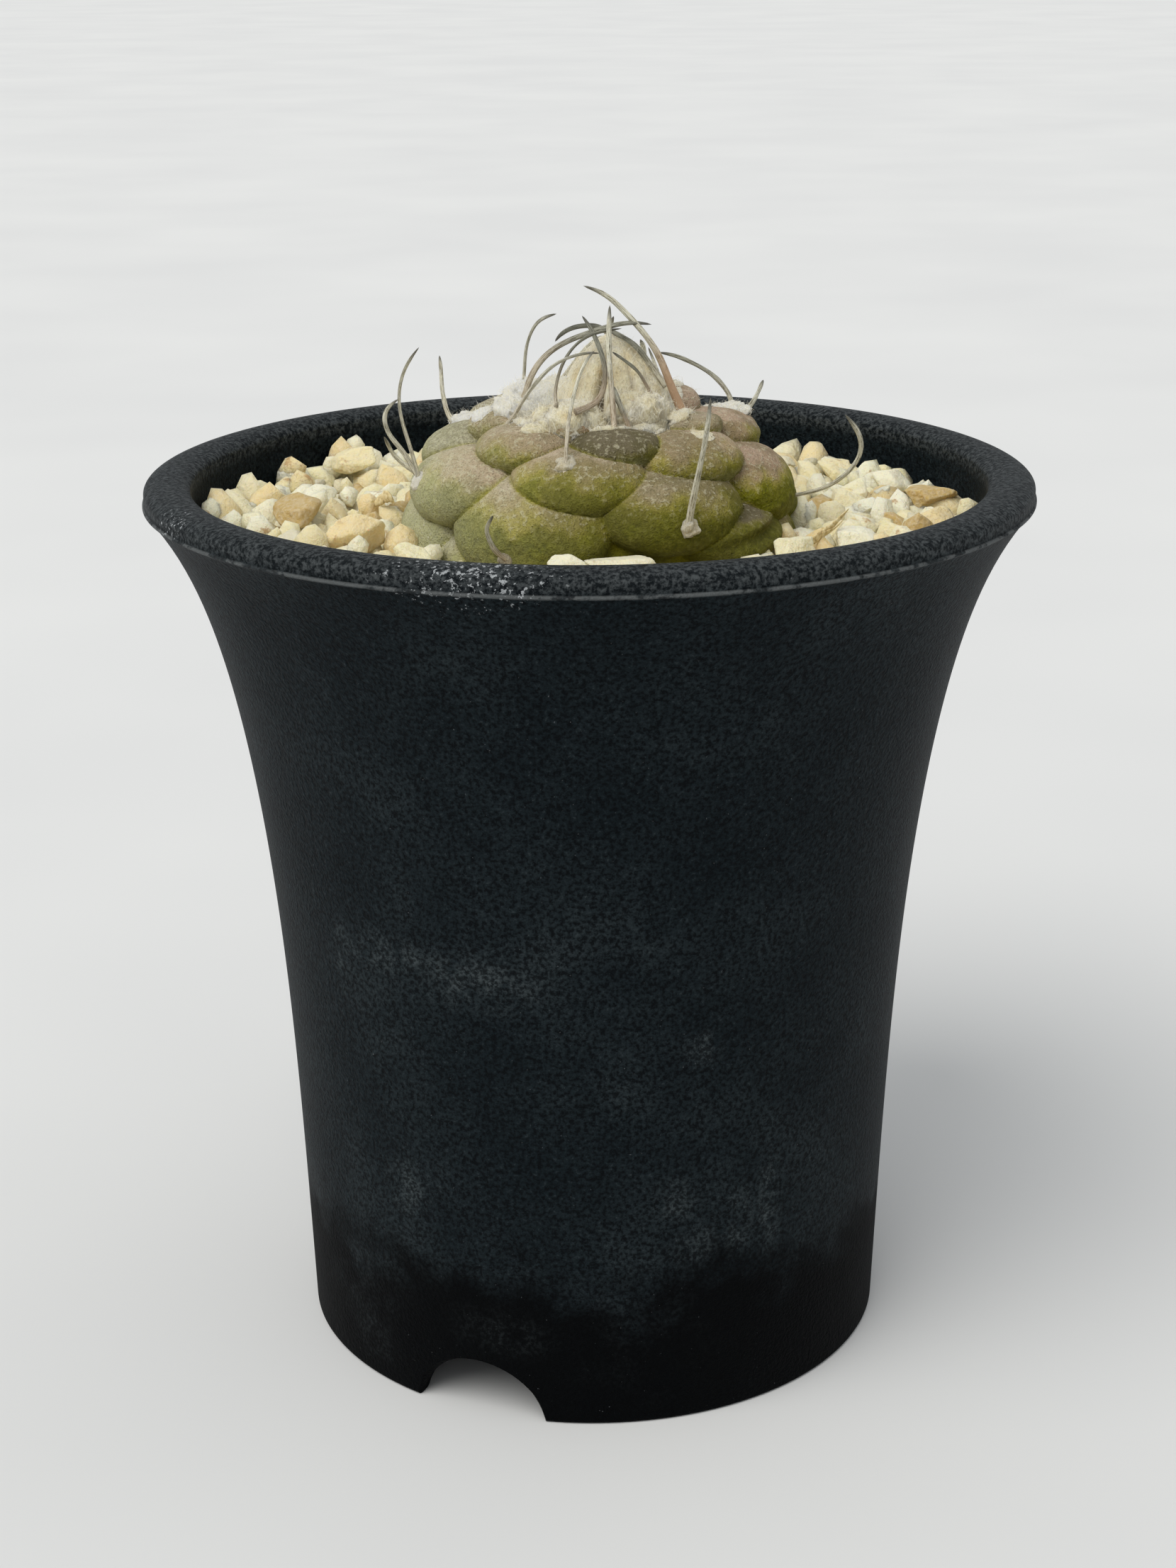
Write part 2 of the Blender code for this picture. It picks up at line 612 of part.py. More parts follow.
def make_stalk():
    """A dry flower stalk that lies on the gravel."""
    points = []
    for azimuth, share, height in STALK:
        radius = open_radius(share, 2 * STALK_RADIUS)
        points.append(toward(azimuth) * radius + Vector((0, 0, gravel_top(azimuth, radius) + height * MM)))
    make_tube("dry_stalk", points, STALK_RADIUS, STALK_RADIUS / 2, material("straw", (0.55, 0.42, 0.22), 0.9))


clear_scene()
make_pot()
make_filling()
stem_skin = make_stem()
make_wool(stem_skin)
make_spines(stem_skin)
make_stalk()
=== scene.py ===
"""Looks of the potted round cactus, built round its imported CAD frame.

Metres, +Z up, in the CAD's own frame. Azimuth counts round the pot from the -Y side, positive
towards +X. Elevation counts up from the level plane through the stem's middle. Both are in degrees.
"""

import math

import bmesh
import bpy
import numpy as np
from mathutils import Matrix, Vector, noise


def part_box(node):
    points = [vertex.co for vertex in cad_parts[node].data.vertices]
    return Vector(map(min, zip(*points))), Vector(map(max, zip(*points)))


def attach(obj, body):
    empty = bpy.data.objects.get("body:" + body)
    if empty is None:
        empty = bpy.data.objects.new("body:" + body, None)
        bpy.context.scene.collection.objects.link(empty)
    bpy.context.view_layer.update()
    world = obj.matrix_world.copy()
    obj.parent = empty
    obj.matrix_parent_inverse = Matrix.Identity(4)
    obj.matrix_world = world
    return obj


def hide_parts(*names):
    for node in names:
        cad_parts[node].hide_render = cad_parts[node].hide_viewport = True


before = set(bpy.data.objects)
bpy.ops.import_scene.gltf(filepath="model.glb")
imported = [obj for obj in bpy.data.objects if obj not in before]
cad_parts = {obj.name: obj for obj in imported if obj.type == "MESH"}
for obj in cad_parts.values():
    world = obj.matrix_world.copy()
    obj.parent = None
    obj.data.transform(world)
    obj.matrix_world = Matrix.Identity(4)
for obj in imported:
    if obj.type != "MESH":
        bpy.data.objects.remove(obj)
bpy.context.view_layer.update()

MM = 0.001

# Camera: its place, lens in millimetres, and angles in radians
CAMERA_PLACE = (0.0, -0.26896, 0.14774)
CAMERA_LENS = 61.42
SENSOR_WIDTH = 36.0
CAMERA_PITCH = -0.3205
CAMERA_YAW = -0.0012
CAMERA_ROLL = -0.0062

# Light and floor
SKY_COLOR = (0.96, 0.98, 1.0)
SKY_STRENGTH = 0.66
WINDOW_SIDE = (-0.5, -0.6, 1.0)
WINDOW_POWER = 1.9
WINDOW_SPREAD = 45.0
WINDOW_COLOR = (1.0, 0.98, 0.95)
FLOOR_SIZE = 16.0

# Pot, from the frame's box and the CAD's own wall
POT_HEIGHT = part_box("pot")[1].z
RIM_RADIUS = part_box("pot")[1].x
FOOT_RADIUS = 31.0 * MM
WALL = 2.1 * MM
LIP_WIDTH = 4.7 * MM
LIP_ROUND = 1.1 * MM
LIP_BAND = 1.15 * MM
LIP_SEAM = 0.16 * MM  # the mould's parting line stands this proud
PARTING = POT_HEIGHT - LIP_ROUND - LIP_BAND
PARTING_STEP = 0.03 * MM
FLARE = ((1.0, 0.235), (3.5, 0.565), (14.0, 0.2))  # power of the height, share of the flare
BASE_LIFT = 6.5 * MM
BASE_PLATE = 2.2 * MM
BASE_FILLET = 1.6 * MM
FOOT_EDGE = 0.5 * MM
DRAIN_RADIUS = 5.0 * MM
DRAIN_EDGE = 0.4 * MM
SIDE_DRAIN_RADIUS = 3.2 * MM
SIDE_DRAIN_RING = 17.0 * MM
SIDE_DRAINS = 6
NOTCH_RADIUS = 7.2 * MM
NOTCH_FLARE = 0.5 * MM
NOTCH_SINK = 1.6 * MM
NOTCH_AZIMUTH = -22.7
NOTCHES = 3
NOTCH_TURNS = 72
POT_TURNS = 288

# Gravel
GRAVEL_LEVEL = POT_HEIGHT - 6.9 * MM
HEAP_RISE = 2.2 * MM
HEAP_AZIMUTH = -140.0
GRAVEL_DIP = 1.6 * MM
SMALL_HEAP = 1.6 * MM
BOWL_RADIUS = RIM_RADIUS - LIP_WIDTH
STONE_SHAPES = 18
STONE_FACETS = 15
HULL_CORNERS = 30
CHIP_FACETS = 11
LARGE_FACETS = 16
GROUND_DEPTH = 8.7 * MM
GROUND_INSET = 0.4 * MM
GROUND_TOP = 1.6 * MM
OTHER_STONE_STEP = 14.0
OTHER_STONE_RINGS = ((26, 31), (32, 35.6))  # near and far radius, in millimetres
OTHER_STONE_GAP = 5.2

# Stem: one spiral of tubercles on a squared-off dome
STEM_MIDDLE = np.array(Vector((1.2 * MM, 0.0, GRAVEL_LEVEL + 1.2 * MM)))
STEM_RADIUS = 17.6 * MM
STEM_RISE = 11.5 * MM
STEM_SQUARENESS = 2.35
TUBERCLE_LIFT = 2.9 * MM
TUBERCLE_HALF_AZIMUTH = 27.0
TUBERCLE_HALF_ELEVATION = 14.0
TUBERCLE_SAG = 0.36
TUBERCLE_DOME = (2.5, 0.55)
TUBERCLE_DROOP = 0.4 * MM
TUBERCLE_BLEND = 0.1 * MM
CREASE_WIDTH = 0.16 * MM
CREASE_CUT = 0.3 * MM
DIVERGENCE = 137.5
FRONT_AZIMUTH = -9.0
FRONT_ELEVATION = 26.4
CLIMB = 2.3
TUBERCLES = [number for number in range(-17, 17) if number != -13]
# Some tubercles' own (shift aside, shift up, width share, height share).
TUBERCLE_SHAPE = {
    -8: (4, 1.5, 1.06, 1.4), -5: (1, 1, 1.02, 1.08), 0: (0, 1.5, 1.0, 1.08), 3: (-2, 1.5, 1.02, 1.0),
    -2: (-3, -2, 0.82, 1.15), -3: (-2, 1, 1.16, 1.08), 5: (1.5, 2.5, 0.94, 1.0), 8: (-3.5, -4, 0.9, 0.8),
    -10: (-8, 1, 0.85, 0.7), 6: (-3, -1, 1.0, 0.9), 11: (-6, -5, 0.8, 0.7),
}
# Some tubercles are darker all over, by this share.
TUBERCLE_SHADE = {8: 0.55, -5: 0.3, -10: 0.4, 5: 0.15}
# Some tubercles' hue: 0 dull purple, 0.45 plain, 1 rosy. The others' is scattered.
TUBERCLE_HUE = {-2: 0.95, 3: 0.7, 6: 0.85, 0: 0.6, -5: 0.5, -8: 0.45, 8: 0.0, 11: 0.3, -3: 0.85, 5: 0.7,
                10: 0.9}
ROOT_RADIUS = 7.5 * MM
ROOT_LENGTH = 40.0 * MM
ROOT_OVERLAP = 4.0 * MM
ROOT_BOTTOM = -86.0
STEM_TURNS = 420

# Wool
WOOL_RADIUS = 10.6 * MM
WOOL_TOP = 17.4 * MM
WOOL_SPREAD = 42.0
AREOLE_RISE = 0.4
AREOLE_LEVEL = 20.0
AREOLE_SHIFT = {-8: (2, -2), -5: (1, -3), 0: (-3, 1), 3: (2, 0), -2: (12, -13), 6: (4, -9),
                -3: (-9, -3), 2: (-8, 1)}
MOST_SOIL_AND_SHADE = 0.4  # no hair grows where the wool's soil and painted slit shade pass this
HAIRS = 6
HAIR_RADIUS = 0.014  # of a hair 1 long

# Spines and dry stalk
SPINE_RADIUS = 0.36 * MM
SPINE_ROOT = -0.3
TUFT_DEPTH = 0.5
CROWN_DEPTH = 1.6
ROD_STEPS = 44
ROD_SIDES = 12


# Node trees

def add_node(tree, kind, inputs=None, **settings):
    """Adds a node. inputs maps a socket's name or number to a value, a socket or a node."""
    made = tree.nodes.new(kind)
    for name, value in settings.items():
        setattr(made, name, value)
    for socket, value in (inputs or {}).items():
        if isinstance(value, bpy.types.Node):
            value = value.outputs[0]
        if isinstance(value, bpy.types.NodeSocket):
            tree.links.new(value, made.inputs[socket])
        else:
            made.inputs[socket].default_value = value
    return made


def new_finish(name, roughness, **constants):
    """A new Principled finish: (material, its tree, its shader, Object coordinates)."""
    made = bpy.data.materials.new(name)
    made.use_nodes = True
    tree = made.node_tree
    shader = tree.nodes["Principled BSDF"]
    shader.inputs["Roughness"].default_value = roughness
    for socket, value in constants.items():
        shader.inputs[socket.replace("_", " ")].default_value = value
    place = add_node(tree, "ShaderNodeTexCoord").outputs["Object"]
    return made, tree, shader, place


def grain(tree, place, size, detail=3.0, roughness=0.55):
    """Noise whose blobs are about that size in metres, from 0 to 1."""
    inputs = {"Vector": place, "Scale": 1 / size, "Detail": detail, "Roughness": roughness}
    return add_node(tree, "ShaderNodeTexNoise", inputs).outputs[0]


def stretched(tree, place, scale):
    """Coordinates scaled along each axis: under 1 draws a pattern out along it."""
    return add_node(tree, "ShaderNodeMapping", {"Vector": place, "Scale": scale}).outputs[0]


def window(tree, value, low, high, to_low=0.0, to_high=1.0):
    """Value stretched from low..high to to_low..to_high, smoothly, and held at the ends."""
    inputs = {0: value, 1: low, 2: high, 3: to_low, 4: to_high}
    return add_node(tree, "ShaderNodeMapRange", inputs, interpolation_type="SMOOTHSTEP").outputs[0]


def calc(tree, operation, first, second=0.0, clamp=False):
    inputs = {0: first, 1: second}
    return add_node(tree, "ShaderNodeMath", inputs, operation=operation, use_clamp=clamp).outputs[0]


def times(tree, first, second):
    return calc(tree, "MULTIPLY", first, second)


def blend(tree, share, first, second):
    """A colour between two colours or colour sockets."""
    inputs = {0: share, 6: rgba(first), 7: rgba(second)}
    return add_node(tree, "ShaderNodeMix", inputs, data_type="RGBA").outputs[2]


def rgba(color):
    return (*color, 1.0) if isinstance(color, tuple) and len(color) == 3 else color


def steps(tree, share, *stops):
    """A colour ramp through (place, colour) stops."""
    ramp = add_node(tree, "ShaderNodeValToRGB", {0: share})
    band = ramp.color_ramp
    while len(band.elements) < len(stops):
        band.elements.new(0.5)
    for element, (place, color) in zip(band.elements, stops):
        element.position = place
        element.color = rgba(color)
    return ramp.outputs[0]


def attribute(tree, name):
    return add_node(tree, "ShaderNodeAttribute", attribute_name=name).outputs["Fac"]


def relief(tree, shader, *layers):
    """Stacks bumps, each (height socket, depth in metres), on the shader's normal."""
    normal = None
    for height, depth in layers:
        inputs = {"Height": height, "Distance": depth, "Strength": 1.0}
        if normal:
            inputs["Normal"] = normal
        normal = add_node(tree, "ShaderNodeBump", inputs).outputs[0]
    tree.links.new(normal, shader.inputs["Normal"])


def color_of(tree, shader, color):
    tree.links.new(color, shader.inputs["Base Color"])


# Meshes

def toward(azimuth, elevation=0.0):
    """Unit vectors at azimuths and elevations, as an array (..., 3)."""
    turn = np.radians(azimuth)
    rise = np.radians(elevation)
    parts = np.sin(turn) * np.cos(rise), -np.cos(turn) * np.cos(rise), np.sin(rise)
    return np.stack(np.broadcast_arrays(*parts), axis=-1)


def noise_at(points, size, seed=0.0):
    """Smooth noise at points, -1 to 1, with blobs of about that size in metres."""
    flat = np.asarray(points, float).reshape(-1, 3) / size + seed
    values = [noise.noise(point) for point in flat.tolist()]
    return np.array(values).reshape(np.shape(points)[:-1])


def mesh_piece(name, points, faces, finish, sharp=60.0):
    """Makes a smooth piece from points and faces, with edges over an angle kept sharp."""
    mesh = bpy.data.meshes.new(name)
    mesh.from_pydata(np.asarray(points, float).reshape(-1, 3).tolist(), [], faces)
    mesh.update()
    mesh.materials.append(finish)
    mesh.shade_smooth()
    mesh.set_sharp_from_angle(angle=math.radians(sharp))
    piece = bpy.data.objects.new(name, mesh)
    bpy.context.scene.collection.objects.link(piece)
    return piece


def store(piece, name, values):
    """Stores one number for each point of a piece."""
    layer = piece.data.attributes.new(name, "FLOAT", "POINT")
    layer.data.foreach_set("value", np.asarray(values, np.float32).ravel())


def grid_faces(rows, columns):
    """Faces of a grid of points that closes round its columns, row by row upwards."""
    row, column = np.mgrid[0:rows - 1, 0:columns]
    after = (column + 1) % columns
    below = row * columns
    over = below + columns
    corners = below + column, below + after, over + after, over + column
    return np.stack(corners, axis=-1).reshape(-1, 4).tolist()


def cap_faces(ring, pole, up):
    """Triangles from a ring of points to one point, facing up or down."""
    pairs = zip(ring, ring[1:] + ring[:1])
    return [(a, b, pole) if up else (b, a, pole) for a, b in pairs]


def closed_round(name, grid, bottom, top, finish, **shading):
    """A round closed piece from rows of points, with a point at its bottom and its top."""
    rows, columns = grid.shape[:2]
    points = np.vstack([grid.reshape(-1, 3), [bottom], [top]])
    faces = grid_faces(rows, columns)
    faces += cap_faces(list(range(columns)), rows * columns, up=False)
    faces += cap_faces(list(range((rows - 1) * columns, rows * columns)), rows * columns + 1, up=True)
    return mesh_piece(name, points, faces, finish, **shading)


def join(name, parts):
    """Joins pieces into one, keeping their attributes."""
    with bpy.context.temp_override(active_object=parts[0], selected_editable_objects=parts):
        bpy.ops.object.join()
    parts[0].name = name
    parts[0].data.name = name
    return parts[0]


def baked(piece):
    """Turns a piece's modifiers into a plain mesh."""
    bpy.context.view_layer.update()
    graph = bpy.context.evaluated_depsgraph_get()
    mesh = bpy.data.meshes.new_from_object(piece.evaluated_get(graph))
    piece.modifiers.clear()
    piece.data = mesh
    return piece


def remove(*pieces):
    for piece in pieces:
        bpy.data.objects.remove(piece, do_unlink=True)


def finish_piece(piece, slot, *nodes):
    """Hangs a piece on the pot's one body and hides the CAD nodes it stands for."""
    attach(piece, "root")
    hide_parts(*nodes)


# Camera, light and floor

def aim_camera():
    data = bpy.data.cameras.new("camera")
    data.sensor_width = SENSOR_WIDTH
    data.lens = CAMERA_LENS
    camera = bpy.data.objects.new("camera", data)
    level = math.cos(CAMERA_PITCH)
    ahead = Vector((math.sin(CAMERA_YAW) * level, math.cos(CAMERA_YAW) * level, math.sin(CAMERA_PITCH)))
    aside = Vector((math.cos(CAMERA_YAW), -math.sin(CAMERA_YAW), 0))
    above = aside.cross(ahead)
    right = math.cos(CAMERA_ROLL) * aside + math.sin(CAMERA_ROLL) * above
    up = math.cos(CAMERA_ROLL) * above - math.sin(CAMERA_ROLL) * aside
    turn = Matrix((right, up, -ahead)).transposed().to_4x4()
    camera.matrix_world = Matrix.Translation(CAMERA_PLACE) @ turn
    bpy.context.scene.collection.objects.link(camera)
    bpy.context.scene.camera = camera


def soft_light(name, source, power, spread, color):
    """A wide soft light from the direction of source, spread in degrees."""
    data = bpy.data.lights.new(name, "SUN")
    data.angle = math.radians(spread)
    data.energy = power
    data.color = color
    lamp = bpy.data.objects.new(name, data)
    lamp.rotation_euler = Vector(source).to_track_quat("Z", "Y").to_euler()
    bpy.context.scene.collection.objects.link(lamp)


def light_studio():
    bpy.context.scene.view_settings.view_transform = "Standard"
    world = bpy.data.worlds.new("studio")
    world.use_nodes = True
    background = world.node_tree.nodes["Background"]
    background.inputs["Color"].default_value = rgba(SKY_COLOR)
    background.inputs["Strength"].default_value = SKY_STRENGTH
    bpy.context.scene.world = world
    soft_light("side_window", WINDOW_SIDE, WINDOW_POWER, WINDOW_SPREAD, WINDOW_COLOR)


def lay_floor():
    made, tree, shader, place = new_finish("pale_floor", 0.9)
    cloth = grain(tree, place, 120 * MM, detail=2)
    color_of(tree, shader, steps(tree, cloth, (0.3, (0.67, 0.675, 0.67)), (0.7, (0.71, 0.715, 0.705))))
    bpy.ops.mesh.primitive_plane_add(size=FLOOR_SIZE)
    floor = bpy.context.object
    floor.name = "floor"
    floor.data.materials.append(made)


# Pot

def outer_wall(height):
    rise = max(0.0, height) / PARTING
    return FOOT_RADIUS + (RIM_RADIUS - FOOT_RADIUS) * sum(share * rise ** power for power, share in FLARE)


def inner_wall(height):
    return min(outer_wall(height) - WALL, BOWL_RADIUS)


def arc(centre, radii, start, end, count):
    """(radius, height) points along an arc, from an angle to another in degrees."""
    turns = np.radians(np.linspace(start, end, count))
    return [(centre[0] + radii[0] * math.cos(turn), centre[1] + radii[1] * math.sin(turn)) for turn in turns]


def pot_profile():
    """(radius, height) points round the wall: base, inside, lip, seam, outside and foot ring."""
    floor = BASE_LIFT + BASE_PLATE
    fillet = BASE_FILLET
    inside_top = POT_HEIGHT - LIP_ROUND
    points = arc((DRAIN_RADIUS + DRAIN_EDGE, floor - DRAIN_EDGE), (DRAIN_EDGE, DRAIN_EDGE), 180, 90, 4)
    points += arc((inner_wall(floor) - fillet, floor + fillet), (fillet, fillet), -90, -8, 7)
    inside_heights = np.linspace(floor + 2 * fillet, inside_top, 40)[:-1]
    points += [(inner_wall(height), height) for height in inside_heights]
    points += arc((RIM_RADIUS - LIP_WIDTH / 2, inside_top), (LIP_WIDTH / 2, LIP_ROUND), 180, 0, 22)
    seam = ((0, 2.2), (-0.02 * MM, 1.4), (LIP_SEAM, 0.5), (LIP_SEAM, -0.3), (-0.05 * MM, -1.2))
    points += [(RIM_RADIUS + out, PARTING + step * LIP_SEAM) for out, step in seam]
    heights = np.linspace(PARTING - 3 * LIP_SEAM, FOOT_EDGE, 70)
    points += [(outer_wall(height) - PARTING_STEP, height) for height in heights]
    points += arc((FOOT_RADIUS - FOOT_EDGE, FOOT_EDGE), (FOOT_EDGE, FOOT_EDGE), -20, -90, 4)
    points += arc((FOOT_RADIUS - WALL + FOOT_EDGE, FOOT_EDGE), (FOOT_EDGE, FOOT_EDGE), -90, -180, 4)
    points += [(FOOT_RADIUS - WALL, BASE_LIFT), (DRAIN_RADIUS, BASE_LIFT)]
    return points


def revolved(name, profile, turns, finish):
    """A closed profile of (radius, height) points turned round the middle."""
    out = toward(np.arange(turns) * 360 / turns)
    grid = np.array([radius * out + (0, 0, height) for radius, height in profile])
    faces = grid_faces(len(profile), turns)
    last = (len(profile) - 1) * turns
    for turn in range(turns):
        after = (turn + 1) % turns
        faces.append((last + turn, last + after, after, turn))
    piece = mesh_piece(name, grid, faces, finish)
    outward(piece)
    return piece


def outward(piece):
    """Turns every face of a closed piece outwards."""
    shape = bmesh.new()
    shape.from_mesh(piece.data)
    bmesh.ops.recalc_face_normals(shape, faces=shape.faces)
    shape.to_mesh(piece.data)
    shape.free()


def carve(piece, cutters):
    """Cuts closed cutters out of a piece and makes its mesh plain again."""
    for cutter in cutters:
        cut = piece.modifiers.new("cut", "BOOLEAN")
        cut.object = cutter
    baked(piece)
    remove(*cutters)
    piece.data.set_sharp_from_angle(angle=math.radians(40))


def drain_cutter(number):
    bpy.ops.mesh.primitive_cylinder_add(vertices=40, radius=SIDE_DRAIN_RADIUS, depth=3 * BASE_PLATE)
    cutter = bpy.context.object
    cutter.location = Vector(SIDE_DRAIN_RING * toward(360 * number / SIDE_DRAINS))
    cutter.location.z = BASE_LIFT + BASE_PLATE / 2
    return cutter


def notch_cutter(number):
    """A level spool through the foot ring: it widens where it leaves the wall, which rounds the edge."""
    spool = ((-9 * WALL, 0.0), (-2.2 * WALL, 0.0), (-1.5 * WALL, 0.0), (1.2 * WALL, 0.0),
             (1.45 * WALL, 0.35), (1.6 * WALL, 1.0), (3 * WALL, 2.2))
    profile = [(0.0, spool[0][0])]
    profile += [(NOTCH_RADIUS + wider * NOTCH_FLARE, along) for along, wider in spool]
    profile += [(0.0, spool[-1][0])]
    shape = bmesh.new()
    points = [shape.verts.new((radius, 0.0, along)) for radius, along in profile]
    edges = [shape.edges.new(pair) for pair in zip(points, points[1:])]
    bmesh.ops.spin(shape, geom=points + edges, cent=(0, 0, 0), axis=(0, 0, 1), angle=math.tau,
                   steps=NOTCH_TURNS, use_merge=True)
    bmesh.ops.remove_doubles(shape, verts=shape.verts, dist=1e-7)
    bmesh.ops.recalc_face_normals(shape, faces=shape.faces)
    mesh = bpy.data.meshes.new("notch_cutter")
    shape.to_mesh(mesh)
    shape.free()
    cutter = bpy.data.objects.new("notch_cutter", mesh)
    bpy.context.scene.collection.objects.link(cutter)
    away = Vector(toward(NOTCH_AZIMUTH + 360 * number / NOTCHES))
    cutter.rotation_euler = away.to_track_quat("Z", "Y").to_euler()
    cutter.location = away * (FOOT_RADIUS - 1.9 * WALL) - Vector((0, 0, NOTCH_SINK))
    return cutter


def spot(tree, place, azimuth, height, wide, tall):
    """A soft round patch on the pot's outside, 1 in its middle, wide and tall in millimetres."""
    middle = Vector(toward(azimuth)) * outer_wall(height * MM)
    middle.z = height * MM
    inputs = {0: place, 1: middle}
    away = add_node(tree, "ShaderNodeVectorMath", inputs, operation="SUBTRACT").outputs[0]
    level = 1 / (wide * MM)
    inputs = {0: away, 1: (level, level, 1 / (tall * MM))}
    scaled = add_node(tree, "ShaderNodeVectorMath", inputs, operation="MULTIPLY").outputs[0]
    distance = add_node(tree, "ShaderNodeVectorMath", {0: scaled}, operation="LENGTH").outputs["Value"]
    return window(tree, distance, 1.0, 0.15)


# Dust on the pot: azimuth, height, width, height of the patch in millimetres, and strength.
DUST_PATCHES = (
    (-36, 50, 9, 3.5, 0.8), (-20, 49, 11, 4.5, 0.75), (-47, 48, 2.2, 6, 0.9), (-36, 24, 4, 5, 0.7),
    (19, 42, 3, 3, 0.75), (14, 25, 4, 4, 0.5), (34, 24, 2.2, 9, 1.0), (27, 22, 2.5, 5, 0.9),
    (22, 20, 7, 4, 0.45), (-52, 10, 9, 7, 0.6), (-48, 5, 5, 5, 0.7), (-18, 10, 8, 4, 0.45),
    (150, 35, 14, 12, 0.6), (-130, 60, 15, 8, 0.6), (95, 22, 12, 9, 0.5),
)


def pot_plastic():
    """Pebbled black plastic: dusty in patches, wet at the foot, scuffed at the lip, and lighter there partly
    from wear and partly as a painted sheen. Painted shade and painted highlights mark the grain, and a
    painted highlight runs along the parting line.
    """
    made, tree, shader, place = new_finish("pot_plastic", 0.5, Specular_IOR_Level=0.04)
    pebble = grain(tree, place, 0.42 * MM, detail=3, roughness=0.65)
    fleck = grain(tree, place, 0.22 * MM, detail=1.0)
    cloud = grain(tree, place, 13 * MM, detail=5, roughness=0.62)
    parts = add_node(tree, "ShaderNodeSeparateXYZ", {0: place})
    height = parts.outputs[2]

    patches = 0.0
    for azimuth, level, wide, tall, strength in DUST_PATCHES:
        patch = times(tree, spot(tree, place, azimuth, level, wide, tall), strength)
        patches = calc(tree, "MAXIMUM", patch, patches)
    ragged = window(tree, grain(tree, place, 3.5 * MM, detail=4, roughness=0.7), 0.36, 0.62)
    patches = times(tree, patches, ragged)
    haze = window(tree, cloud, 0.52, 0.8, 0.0, 0.22)
    dust = calc(tree, "MAXIMUM", patches, haze)
    caught = window(tree, pebble, 0.44, 0.64, 0.15, 1.0)
    dust = times(tree, dust, caught)

    tide = times(tree, grain(tree, place, 9 * MM, detail=5), 26 * MM)
    foot_edge = calc(tree, "ADD", height, tide)
    wet = window(tree, foot_edge, 32 * MM, 24 * MM)
    dust = times(tree, dust, window(tree, wet, 0.2, 1.0, 1.0, 0.35))

    lip = window(tree, height, POT_HEIGHT - 2.6 * MM, POT_HEIGHT - 1.2 * MM)
    scuff_spot = spot(tree, place, -14, POT_HEIGHT / MM - 0.8, 12, 5)
    far_spot = spot(tree, place, -62, POT_HEIGHT / MM - 0.8, 5, 4)
    scuff_area = calc(tree, "MAXIMUM", scuff_spot, far_spot)
    scuff_area = calc(tree, "ADD", scuff_area, times(tree, lip, 0.12))
    scrape = grain(tree, place, 0.55 * MM, detail=3, roughness=0.7)
    scuff = window(tree, calc(tree, "ADD", scrape, times(tree, scuff_area, 0.1)), 0.66, 0.72)
    scuff = times(tree, scuff, window(tree, scuff_area, 0.05, 0.6, 0.0, 0.85))
    speck = window(tree, grain(tree, place, 0.35 * MM, detail=2, roughness=0.7), 0.72, 0.8)
    scuff = calc(tree, "MAXIMUM", scuff, times(tree, speck, 0.25))

    clean = blend(tree, window(tree, cloud, 0.3, 0.7), (0.0062, 0.0105, 0.0130), (0.0125, 0.0185, 0.0215))
    # The grain's colour is painted light: painted shade in its pits and painted highlights on its tops.
    clean = blend(tree, window(tree, pebble, 0.36, 0.6), (0.0022, 0.0034, 0.0044), clean)
    clean = blend(tree, window(tree, pebble, 0.6, 0.76, 0.0, 0.6), clean, (0.035, 0.044, 0.048))
    # The lip is lighter partly from wear and partly as a painted sheen, with painted shade in the grain's
    # pits and painted highlights on its tops.
    wear_and_painted_sheen = blend(tree, window(tree, pebble, 0.38, 0.68), (0.006, 0.0085, 0.0100), (0.070, 0.078, 0.080))
    clean = blend(tree, times(tree, lip, 0.8), clean, wear_and_painted_sheen)
    from_seam = calc(tree, "ABSOLUTE", calc(tree, "SUBTRACT", height, PARTING))
    flat = add_node(tree, "ShaderNodeVectorMath", {0: place, 1: (1, 1, 0)}, operation="MULTIPLY").outputs[0]
    away = add_node(tree, "ShaderNodeVectorMath", {0: flat}, operation="LENGTH").outputs["Value"]
    outer = window(tree, away, outer_wall(PARTING) - 0.5 * WALL, outer_wall(PARTING) - 0.4 * WALL)
    # A thin painted highlight along the mould's parting line.
    seam = times(tree, window(tree, from_seam, 0.3 * MM, 0.1 * MM), outer)
    seam = times(tree, seam, window(tree, ragged, 0.1, 0.6, 0.1, 0.55))
    clean = blend(tree, seam, clean, (0.16, 0.17, 0.17))
    color = blend(tree, times(tree, wet, 0.95), clean, (0.0005, 0.0007, 0.0010))
    color = blend(tree, times(tree, dust, 0.85), color, (0.07, 0.084, 0.087))
    color = blend(tree, scuff, color, (0.38, 0.40, 0.41))
    color_of(tree, shader, color)
    rough = calc(tree, "ADD", times(tree, dust, 0.25), window(tree, wet, 0, 1, 0.5, 0.62))
    tree.links.new(rough, shader.inputs["Roughness"])
    relief(tree, shader, (pebble, 0.3 * MM), (fleck, 0.05 * MM), (cloud, 0.3 * MM))
    return made


def make_pot():
    finish = pot_plastic()
    pot = revolved("pot_shell", pot_profile(), POT_TURNS, finish)
    cutters = [drain_cutter(number) for number in range(SIDE_DRAINS)]
    cutters += [notch_cutter(number) for number in range(NOTCHES)]
    carve(pot, cutters)
    finish_piece(pot, "pot_plastic", "pot")


# Stem

def body_reach(elevation):
    """How far the plain dome under the tubercles reaches."""
    rise = np.radians(elevation)
    level = np.abs(np.cos(rise) / STEM_RADIUS) ** STEM_SQUARENESS
    upright = np.abs(np.sin(rise) / STEM_RISE) ** STEM_SQUARENESS
    return (level + upright) ** (-1 / STEM_SQUARENESS)


